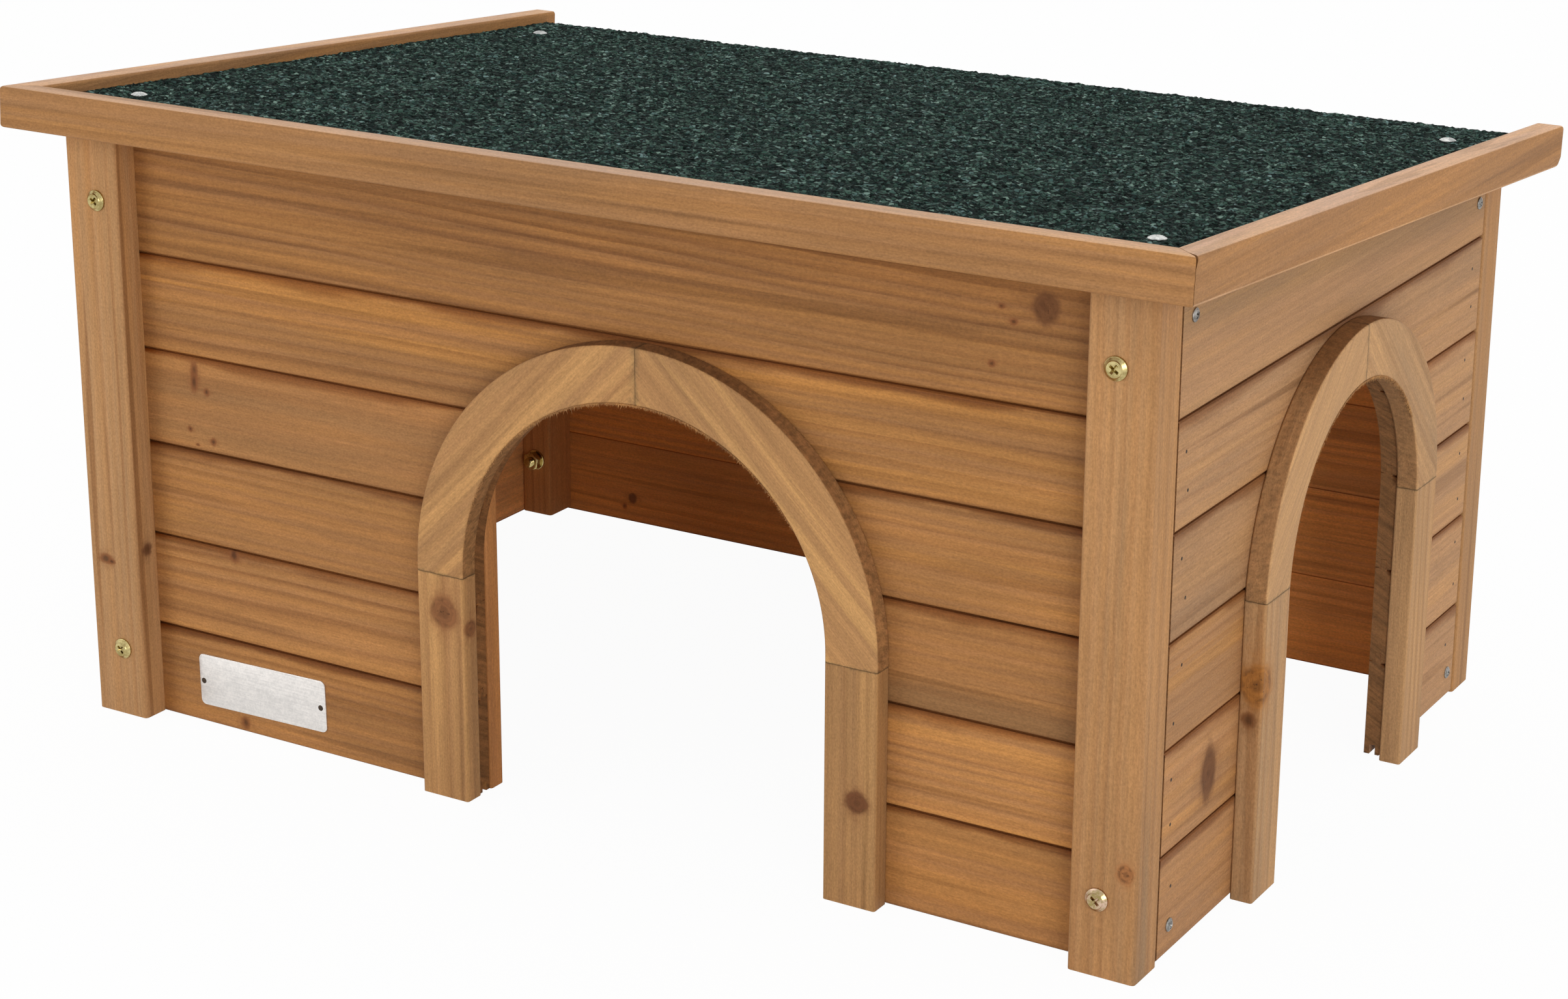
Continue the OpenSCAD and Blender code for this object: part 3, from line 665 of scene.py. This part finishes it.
def solids(name):
    """The box of every separate solid in a CAD node."""
    shape = bmesh.new()
    shape.from_mesh(nodes[name].data)
    bmesh.ops.remove_doubles(shape, verts=shape.verts, dist=WELD)
    left = set(shape.verts)
    found = []
    while left:
        group = {left.pop()}
        front = list(group)
        while front:
            near = {edge.other_vert(vert) for vert in front for edge in vert.link_edges} - group
            group |= near
            front = list(near)
        left -= group
        places = np.array([vert.co for vert in group])
        low, high = Vector(places.min(axis=0)), Vector(places.max(axis=0))
        found.append(Solid(low, high, (low + high) / 2, high - low))
    shape.free()
    return sorted(found, key=lambda solid: tuple(round(c, 4) for c in solid.low))


class Mesh:
    """Collects the vertices and faces of one piece."""

    def __init__(self):
        self.verts = []
        self.faces = []

    def add(self, body, matrix=None):
        verts, faces = body
        start = len(self.verts)
        self.verts += [tuple(matrix @ Vector(v)) if matrix else tuple(v) for v in verts]
        self.faces += [tuple(start + i for i in face) for face in faces]

    def build(self, sharp=32):
        mesh = bpy.data.meshes.new("piece")
        mesh.from_pydata(self.verts, [], self.faces)
        shape = bmesh.new()
        shape.from_mesh(mesh)
        bmesh.ops.recalc_face_normals(shape, faces=shape.faces)
        shape.to_mesh(mesh)
        shape.free()
        mesh.shade_smooth()
        mesh.set_sharp_from_angle(angle=math.radians(sharp))
        return mesh


def band(first, second, count):
    """Quads between two closed rings of vertices, given by the number of the first vertex in each."""
    return [(first + i, first + (i + 1) % count, second + (i + 1) % count, second + i) for i in range(count)]


def lathe(profile, segments=40, turns=None):
    """Vertices and faces of a closed body of revolution about z, its profile running from axis to axis. turns
    changes radius and height on the way round."""
    verts = [(0, 0, profile[0][1])]
    faces = []
    for r, z in profile[1:-1]:
        for i in range(segments):
            angle = 2 * math.pi * i / segments
            radius, height = (r, z) if turns is None else turns(r, z, angle)
            verts.append((radius * math.cos(angle), radius * math.sin(angle), height))
    verts.append((0, 0, profile[-1][1]))
    last = len(verts) - 1
    for i in range(segments):
        j = (i + 1) % segments
        faces.append((0, 1 + j, 1 + i))
        for a in range(1, last - segments, segments):
            faces.append((a + i, a + j, a + segments + j, a + segments + i))
        faces.append((last - segments + i, last - segments + j, last))
    return verts, faces


def cross_cutter(span, width, depth):
    """Tapered cutter for a cross recess, pointing down from z = 0."""
    half, arm = span / 2, width / 2
    outline = [(arm, arm), (arm, half), (-arm, half)]
    for _ in range(3):
        outline += [(-y, x) for x, y in outline[-3:]]
    verts = []
    for z, scale in ((span, 1.0), (0.0, 1.0), (-depth, 0.42)):
        verts += [(x * scale, y * scale, z) for x, y in outline]
    count = len(outline)
    faces = [tuple(range(count)), tuple(reversed(range(2 * count, 3 * count)))]
    for level in (0, count):
        faces += [(a, d, c, b) for a, b, c, d in band(level, level + count, count)]
    return verts, faces


def carved(body, cutter, operation="DIFFERENCE"):
    """A body with a cutter taken out of it, or only what lies in both."""
    objects = []
    for part in (body, cutter):
        collected = Mesh()
        collected.add(part)
        made = bpy.data.objects.new("carving", collected.build())
        bpy.context.scene.collection.objects.link(made)
        objects.append(made)
    cut = objects[0].modifiers.new("cut", "BOOLEAN")
    cut.operation = operation
    cut.solver = "EXACT"
    cut.object = objects[1]
    bpy.context.view_layer.update()
    result = objects[0].evaluated_get(bpy.context.evaluated_depsgraph_get()).to_mesh()
    shape = [tuple(v.co) for v in result.vertices], [tuple(face.vertices) for face in result.polygons]
    for made in objects:
        bpy.data.objects.remove(made)
    return shape


def arc(x, z, radius, start, stop, steps=6):
    """Points on an arc in a profile, angles in degrees."""
    angles = [math.radians(start + (stop - start) * i / steps) for i in range(steps + 1)]
    return [(x + radius * math.cos(a), z + radius * math.sin(a)) for a in angles]


def facing(place, direction, spin=0.0):
    """Matrix that carries a piece modelled along z to a place, with z along a direction."""
    turn = Vector(direction).to_track_quat("Z", "Y").to_matrix().to_4x4()
    return Matrix.Translation(place) @ turn @ Matrix.Rotation(spin, 4, "Z")


def outward(centre, axis):
    """Unit vector along an axis, pointing away from the middle of the hutch."""
    direction = Vector()
    direction[axis] = math.copysign(1.0, centre[axis])
    return direction


# ---------------- fasteners

BOLT_D, BOLT_FLAT, BOLT_RECESS = 6 * MM, 7.2 * MM, 4.9 * MM
NUT_FLATS = 10 * MM
PITCH, THREAD_DEPTH, THREADED = 1.0 * MM, 0.55 * MM, 20 * MM
THREAD_STEP = PITCH / 6
HEAD_PLAY = 0.1 * MM
QUARTER, SIXTH = math.pi / 2, math.pi / 3


def thread(r, z, angle):
    """Radius and height on a screw thread."""
    phase = (z / PITCH + angle / (2 * math.pi)) % 1.0
    return r - THREAD_DEPTH * abs(2 * phase - 1), z


def with_recess(profile, height, span):
    """Screw head from its half section, with a cross recess in its top."""
    verts, faces = cross_cutter(span, span * 0.27, height * 0.72)
    cutter = [(x, y, z + height) for x, y, z in verts], faces
    return carved(lathe([(0.0, height + 1e-6)] + profile[1:]), cutter)


def pan_head(diameter, height, rim):
    """Half section of a screw head: a low dome on a rounded rim, down to z = 0."""
    r = diameter / 2
    rise = height - rim
    bend = rim * 0.45
    steps = (0, 0.15, 0.3, 0.45, 0.6, 0.72, 0.82, 0.9, 0.96)
    dome = [((r - bend) * t, height - rise * t ** 2.4) for t in steps]
    return dome + arc(r - bend, rim - bend, bend, 80, 0) + [(r, 0.0), (0.0, 0.0)]


def bolt_head(diameter, height):
    """Flat in the middle, with a broad, slightly hollow slope down to a thin rounded rim."""
    r, flat, rim, bend = diameter / 2, BOLT_FLAT / 2, height * 0.42, 0.45 * MM
    run, fall = r - 0.3 * MM - flat, height - rim
    slope = [(flat + run * t, height - fall * (0.08 + 0.92 * t)) for t in (0.06, 0.3, 0.55, 0.8)]
    edge = arc(r - bend, rim - bend, bend, 70, 0, 4)
    return [(0.0, height), (flat * 0.6, height), (flat, height)] + slope + edge + [(r, 0.0), (0.0, 0.0)]


def bolt_body(length):
    """Smooth shank, then a thread up to the end, below z = 0."""
    r, start = BOLT_D / 2, THREADED - length
    shank = r - 0.25 * MM
    body = Mesh()
    body.add(lathe([(0, 0), (shank, -0.05 * MM), (shank, start), (0, start)]))
    rings = [(r, start - i * THREAD_STEP) for i in range(int(THREADED / THREAD_STEP))]
    end = rings[-1][1]
    profile = [(0, start)] + rings + [(r - 0.5 * MM, end - 0.3 * MM), (0, end - 0.35 * MM)]
    body.add(lathe(profile, 28, lambda r, z, angle: thread(r, z, angle) if z >= end else (r - 0.4 * MM, z)))
    return body.verts, body.faces


def nut(solid):
    """Hexagon with chamfered corners and a bore, round z = 0."""
    top, reach = solid.size.y / 2, NUT_FLATS / math.sqrt(3)
    ring = [(reach * math.cos(math.pi * i / 3), reach * math.sin(math.pi * i / 3)) for i in range(6)]
    verts = [(x, y, z) for z in (-top, top) for x, y in ring]
    faces = [tuple(range(6)), tuple(range(6, 12))] + band(0, 6, 6)
    flat, wide = NUT_FLATS / 2 * 0.96, reach * 1.001 + 0.2 * MM
    shoulder = top - (reach * 1.001 - flat) * math.tan(math.radians(30)) - 0.1 * MM
    chamfer = lathe([(0, top), (flat, top), (wide, shoulder), (wide, -shoulder), (flat, -top), (0, -top)], 60)
    hole, beyond = BOLT_D / 2 + 0.06 * MM, solid.size.y
    bore = lathe([(0, beyond), (hole, beyond), (hole, -beyond), (0, -beyond)], 28)
    return [carved(carved((verts, faces), chamfer, "INTERSECT"), bore)]


def washer(solid):
    """Flat ring with rounded edges, round z = 0."""
    inner, half, ease, segments = BOLT_D / 2 + 0.1 * MM, solid.size.y / 2, 0.3 * MM, 44
    turn = solid.size.x / 2 - ease
    outline = [(inner, half), (turn, half)] + arc(turn, half - ease, ease, 70, 0, 3)
    outline += arc(turn, ease - half, ease, 0, -70, 3) + [(turn, -half), (inner, -half)]
    angles = [2 * math.pi * i / segments for i in range(segments)]
    verts = [(x * math.cos(a), x * math.sin(a), z) for x, z in outline for a in angles]
    faces = []
    for ring in range(len(outline)):
        faces += band(ring * segments, (ring + 1) % len(outline) * segments, segments)
    return [(verts, faces)]


def felt_top(y):
    """Height of the felt's upper plane at a distance y behind the middle."""
    low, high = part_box("roof_felt")
    return high.z - (y - low.y) * math.tan(ROOF_SLOPE)


def side_face(direction):
    """Place of the boards' outer face on the left or right side."""
    return corner("left_board_2").x if direction < 0 else corner("right_board_5", high=True).x


def post_face(direction):
    """Place of the posts' outer face in front or behind."""
    return corner("front_post_left").y if direction < 0 else corner("rear_post_left", high=True).y


def on_post(centre):
    direction = outward(centre, Y)
    return Vector((centre.x, post_face(direction.y), centre.z)), direction


def through_corner(centre):
    return centre, outward(centre, Y)


def on_side(centre):
    direction = outward(centre, X)
    return Vector((side_face(direction.x), centre.y, centre.z)), direction


def on_roof(centre):
    """Place and direction of a screw that is driven a little way into the felt."""
    normal = Vector((0, math.sin(ROOF_SLOPE), math.cos(ROOF_SLOPE)))
    return Vector((centre.x, centre.y, felt_top(centre.y))) - normal * 0.2 * MM, normal


def bolt(solid):
    """Head and body of a corner bolt."""
    height = post_face(-1) - solid.low.y - HEAD_PLAY
    head = with_recess(bolt_head(solid.size.x - HEAD_PLAY, height), height, BOLT_RECESS)
    return head, bolt_body(solid.high.y - post_face(-1))


def wood_screw(diameter, height, rim, recess, shank, straight, length):
    """Head and shank of a screw that points down from z = 0, the shank straight at first and then pointed."""
    head = with_recess(pan_head(diameter - HEAD_PLAY, height, rim), height, recess)
    return head, lathe([(0, 0), (shank, 0), (shank, -straight), (0, -length)], 24)


def roof_screw(solid):
    return wood_screw(solid.size.x, 1.7 * MM, 0.6 * MM, 4.4 * MM, 2 * MM, 24 * MM, 26 * MM)


def side_screw(solid):
    return wood_screw(solid.size.y, 1.6 * MM, 0.7 * MM, 3.6 * MM, 1.7 * MM, 22 * MM, 24.4 * MM)


def gathered(rng, name, shaped, stand, spin):
    """All the fine fasteners that stand for a CAD node's solids. shaped gives the bodies of one, stand its
    place and direction, and spin is how far it may be turned."""
    found = solids(name)
    bodies = shaped(found[0])
    mesh = Mesh()
    for solid in found:
        matrix = facing(*stand(solid.centre), rng.uniform(0, spin))
        for body in bodies:
            mesh.add(body, matrix)
    return mesh.build()


def add_fasteners():
    rng = random.Random(11)
    bolts = gathered(rng, "corner_bolts", bolt, on_post, QUARTER)
    washers = gathered(rng, "corner_washers", washer, through_corner, SIXTH)
    nuts = gathered(rng, "corner_nuts", nut, through_corner, SIXTH)
    rng = random.Random(12)
    roof_screws = gathered(rng, "roof_screws", roof_screw, on_roof, QUARTER)
    side_screws = gathered(rng, "side_screws", side_screw, on_side, QUARTER)
    for name, mesh in (("corner_washers", washers), ("corner_nuts", nuts), ("corner_bolts", bolts)):
        new_piece(name + "_fine", mesh, YELLOW_ZINC, (name,))
    new_piece("roof_screws_fine", roof_screws, WHITE_ZINC, ("roof_screws",))
    new_piece("side_screws_fine", side_screws, DULL_ZINC, ("side_screws",))


def nail_head(radius):
    """Low rounded head that stands just proud of the wood."""
    under = -0.4 * MM
    dome = [(0, 0.12 * MM), (radius * 0.5, 0.1 * MM), (radius * 0.85, 0.02 * MM), (radius, -0.12 * MM)]
    return lathe(dome + [(radius * 0.6, under), (0, under)], 16)


def add_board_nails():
    """Two nails near each end of the side boards, none of them quite in line. The lowest boards show only the
    upper one, the highest none."""
    rng = random.Random(13)
    nails = Mesh()
    body = nail_head(1.0 * MM)
    edge, low_rise, high_rise = 11 * MM, 14 * MM, 33 * MM
    for side, direction in (("left", -1.0), ("right", 1.0)):
        for row in range(1, 7):
            whole = f"{side}_board_{row}"
            front, rear = (whole, whole) if whole in nodes else (whole + "_front", whole + "_rear")
            for place_y in (corner(front).y + edge, corner(rear, high=True).y - edge):
                for rise in (low_rise, high_rise):
                    y = place_y + rng.uniform(-4, 4) * MM
                    z = corner(front).z + rise + rng.uniform(-4.5, 4.5) * MM
                    if row == 6 or (row == 1 and rise == low_rise):
                        continue
                    nails.add(body, facing(Vector((side_face(direction), y, z)), Vector((direction, 0, 0))))
    new_piece("side_board_nails", nails.build(), NAIL_METAL)


def add_plate():
    """Blank metal plate, nailed a little askew to the lowest front board."""
    length, height, thick, radius, ease = 83.5 * MM, 28 * MM, 0.7 * MM, 3 * MM, 0.2 * MM
    tilt = math.radians(1.1)
    from_post, above_ground = 68 * MM, 24.7 * MM
    x = corner("front_post_left", high=True).x + from_post
    centre = Vector((x, corner("front_board_1_left").y, above_ground))

    def outline(inset):
        x, y = length / 2 - radius, height / 2 - radius
        corners = ((x, y, 0), (-x, y, 90), (-x, -y, 180), (x, -y, 270))
        return [point for x, y, start in corners for point in arc(x, y, radius - inset, start, start + 90)]

    levels = [(0.0, 0.0), (0.0, thick - ease), (ease * 0.3, thick - ease * 0.3), (ease, thick)]
    verts = [(x, y, z) for inset, z in levels for x, y in outline(inset)]
    count = len(outline(0.0))
    faces = [tuple(range(count)), tuple(range(3 * count, 4 * count))]
    for level in range(3):
        faces += band(level * count, (level + 1) * count, count)
    upright = Matrix.Rotation(math.radians(90), 4, "X") @ Matrix.Rotation(tilt, 4, "Z")
    upright = Matrix.Translation(centre) @ upright
    plate, nails = Mesh(), Mesh()
    plate.add((verts, faces), upright)
    new_piece("plate", plate.build(25), PLATE_METAL)
    for x in (-39.2 * MM, 38.4 * MM):
        nails.add(nail_head(1.6 * MM), upright @ Matrix.Translation((x, -0.8 * MM, thick + 0.1 * MM)))
    new_piece("plate_nails", nails.build(), NAIL_METAL)


# ---------------- felt


def grain_heights(rng, u, v, inner, screws):
    """Millimetres by which the grains stand out: lumps on broader clumps, pressed flat round the screws."""
    columns, rows = u.shape
    lumps = rng.uniform(0.0, 1.0, u.shape) ** 1.3
    coarse = rng.uniform(-1, 1, (columns // 4 + 2, rows // 4 + 2))
    clumps = np.kron(coarse, np.ones((4, 4)))[:columns, :rows]
    height = 1.25 * lumps + 0.2 * clumps - 0.4
    for screw_u, screw_v in screws:
        away = np.hypot(u - screw_u, v - screw_v)
        free = np.clip((away - 4.4 * MM) / (4 * MM), 0, 1)
        height = height * (0.25 + 0.75 * free) - 0.75 * (1 - free)
    return np.where(inner, height, rng.uniform(-0.5, 0.3, u.shape))


def add_felt():
    """Felt with its crushed slate as real relief: a jittered grid of small facets over the CAD slab."""
    rng = np.random.default_rng(21)
    low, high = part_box("roof_felt")
    step, thick, jut = 1.5 * MM, 3 * MM, 0.05 * MM
    sine, cosine = math.sin(ROOF_SLOPE), math.cos(ROOF_SLOPE)
    x0, x1 = low.x + jut, high.x - jut
    front = low.y + thick * sine
    run = (high.y - front) / cosine
    columns, rows = int((x1 - x0) / step), int(run / step)
    u, v = np.meshgrid(np.linspace(x0, x1, columns), np.linspace(0, run, rows), indexing="ij")
    inner = np.zeros(u.shape, dtype=bool)
    inner[1:-1, 1:-1] = True
    u = u + inner * rng.uniform(-0.42, 0.42, u.shape) * step
    v = v + inner * rng.uniform(-0.42, 0.42, v.shape) * step
    screws = [(screw.centre.x, (screw.centre.y - front) / cosine) for screw in solids("roof_screws")]
    height = grain_heights(rng, u, v, inner, screws) * MM

    def placed(up):
        y, z = front + v * cosine + up * sine, high.z - v * sine + up * cosine
        return np.stack([u, y, z], axis=-1).reshape(-1, 3)

    top, bottom = placed(height), placed(0.02 * MM - thick)
    number = np.arange(columns * rows).reshape(columns, rows)
    a, b, c, d = number[:-1, :-1], number[1:, :-1], number[1:, 1:], number[:-1, 1:]
    flip = rng.random(a.shape)[..., None] < 0.5
    first = np.where(flip, np.stack([a, b, c], -1), np.stack([a, b, d], -1)).reshape(-1, 3)
    second = np.where(flip, np.stack([a, c, d], -1), np.stack([b, c, d], -1)).reshape(-1, 3)
    rim = np.concatenate([number[:, 0], number[-1, 1:], number[-2::-1, -1], number[0, -2:0:-1]])
    under = len(top) + np.arange(len(rim))
    sides = np.stack([rim, under, np.roll(under, -1), np.roll(rim, -1)], -1)
    faces = first.tolist() + second.tolist() + sides.tolist() + [under[::-1].tolist()]
    mesh = bpy.data.meshes.new("felt")
    mesh.from_pydata(np.concatenate([top, bottom[rim]]).tolist(), [], faces)
    mesh.update()
    new_piece("felt_grains", mesh, felt_material(), ("roof_felt",))


# ---------------- rough edges

FUZZ = wood("splinters", ALONG_Z_FRONT, 3.0, TRIM, rings=0.2, warmth=0.6, grey=0.3)
FUZZ_COUNT = 4200
FUZZ_FROM, FUZZ_TO = math.radians(34), math.radians(165)


def add_splinters(name, arch_names, axis_u, axis_out, radius):
    """Fuzzy fibres left by the saw along the inner edge of an arch, thickest round its crown."""
    rng = random.Random(name)
    low = Vector([min(corner(n)[i] for n in arch_names) for i in range(3)])
    high = Vector([max(corner(n, high=True)[i] for n in arch_names) for i in range(3)])
    centre_u = (low + high)[axis_u] / 2
    spring_z = high.z - (high - low)[axis_u] / 2
    face, outside = (low[axis_out], -1) if axis_out == Y else (high[axis_out], 1)
    fuzz = Mesh()
    for _ in range(FUZZ_COUNT):
        angle = math.radians(rng.gauss(84, 32))
        if not FUZZ_FROM < angle < FUZZ_TO:
            continue
        base_r = radius + rng.uniform(-0.05, 0.35) * MM
        length = (0.3 + rng.expovariate(2.2)) * MM
        width = rng.uniform(0.08, 0.22) * MM
        lean = rng.gauss(0, 0.6)
        depth = abs(rng.gauss(0.15, 0.7)) * MM + 0.05 * MM
        corners = ((0, -width, 0), (0, width, 0), (0, 0, 1.6 * width), (-length, lean * length, 0.4 * width))
        points = []
        for radial, sideways, out in corners:
            r = base_r + radial
            place = Vector((0, 0, spring_z + r * math.sin(angle) + sideways * math.cos(angle)))
            place[axis_u] = centre_u + r * math.cos(angle) - sideways * math.sin(angle)
            place[axis_out] = face - outside * (depth - out)
            points.append(place)
        fuzz.add((points, [(0, 1, 2), (0, 1, 3), (1, 2, 3), (2, 0, 3)]))
    new_piece(name, fuzz.build(), FUZZ)


add_fasteners()
add_board_nails()
add_plate()
add_felt()
FRONT_ARCH = ("front_arch_left", "front_arch_right")
SIDE_ARCH = ("side_arch_front", "side_arch_rear")
add_splinters("front_arch_splinters", FRONT_ARCH, X, Y, 101 * MM)
add_splinters("side_arch_splinters", SIDE_ARCH, Y, X, 80 * MM)


# ---------------- stage, light and camera

FLOOR_Z, FLOOR_REACH = -0.1 * MM, 6.0
WHITE = (1.0, 1.0, 1.0, 1.0)
FLOOR_GREY = (0.93, 0.93, 0.93, 1.0)
FLOOR_GLOW = 0.96
AMBIENT = 0.74


def seen(s):
    """1 for rays from the camera, also where they come by way of a mirror or glass."""
    path = s.node("LightPath").outputs
    return s.larger(path["Is Camera Ray"], s.larger(path["Is Glossy Ray"], path["Is Transmission Ray"]))


def blend(s, factor, first, second):
    return s.node("MixShader", {"Fac": factor, 1: first.outputs[0], 2: second.outputs[0]}).outputs[0]


def add_stage():
    mesh = bpy.data.meshes.new("floor")
    corners = [(x * FLOOR_REACH, y * FLOOR_REACH, FLOOR_Z) for x, y in ((-1, -1), (1, -1), (1, 1), (-1, 1))]
    mesh.from_pydata(corners, [], [(0, 1, 2, 3)])
    floor = bpy.data.objects.new("floor", mesh)
    bpy.context.scene.collection.objects.link(floor)
    material, s = new_material("floor")
    looked_at = seen(s)
    plain = s.node("BsdfDiffuse", {"Color": FLOOR_GREY})
    white = s.node("Emission", {"Color": WHITE, "Strength": 1.0})
    s.node("OutputMaterial", {"Surface": blend(s, s.product(looked_at, FLOOR_GLOW), plain, white)})
    mesh.materials.append(material)


def add_world():
    world = bpy.data.worlds.new("studio")
    bpy.context.scene.world = world
    world.use_nodes = True
    world.node_tree.nodes.clear()
    s = Shader(world.node_tree)
    looked_at = seen(s)
    ambient, white = (s.node("Background", {"Color": WHITE, "Strength": glow})
                      for glow in (AMBIENT, 1.0))
    s.node("OutputWorld", {"Surface": blend(s, looked_at, ambient, white)})


def add_light(name, place, aim_z, size, watts):
    """A square lamp that looks at a height over the middle of the hutch."""
    data = bpy.data.lights.new(name, "AREA")
    data.shape = "SQUARE"
    data.size = size
    data.energy = watts
    lamp = bpy.data.objects.new(name, data)
    lamp.location = place
    lamp.rotation_euler = (Vector((0, 0, aim_z)) - Vector(place)).to_track_quat("-Z", "Y").to_euler()
    bpy.context.scene.collection.objects.link(lamp)


def add_camera():
    """The camera of the photograph, as calibrated."""
    data = bpy.data.cameras.new("camera")
    data.sensor_width = 36.0
    data.lens = 73.99
    data.shift_x = 0.0498
    data.shift_y = -0.0527
    data.clip_start = 0.01
    camera = bpy.data.objects.new("camera", data)
    camera.location = (0.82046, -1.37592, 0.65583)
    camera.rotation_euler = Euler([math.radians(a) for a in (72.6183, 0.1646, 32.3477)])
    bpy.context.scene.collection.objects.link(camera)
    bpy.context.scene.camera = camera


add_stage()
add_world()
add_light("key", (-1.9, -2.4, 1.1), 0.15, 1.4, 15)
add_light("second", (2.5, -2.2, 0.85), 0.12, 1.3, 31)
add_light("side", (3.0, 0.8, 1.2), 0.15, 1.8, 4)
add_light("top", (0.2, 0.6, 3.0), 0.2, 2.0, 8)
add_camera()
bpy.context.scene.view_settings.view_transform = "Standard"

bpy.context.view_layer.update()
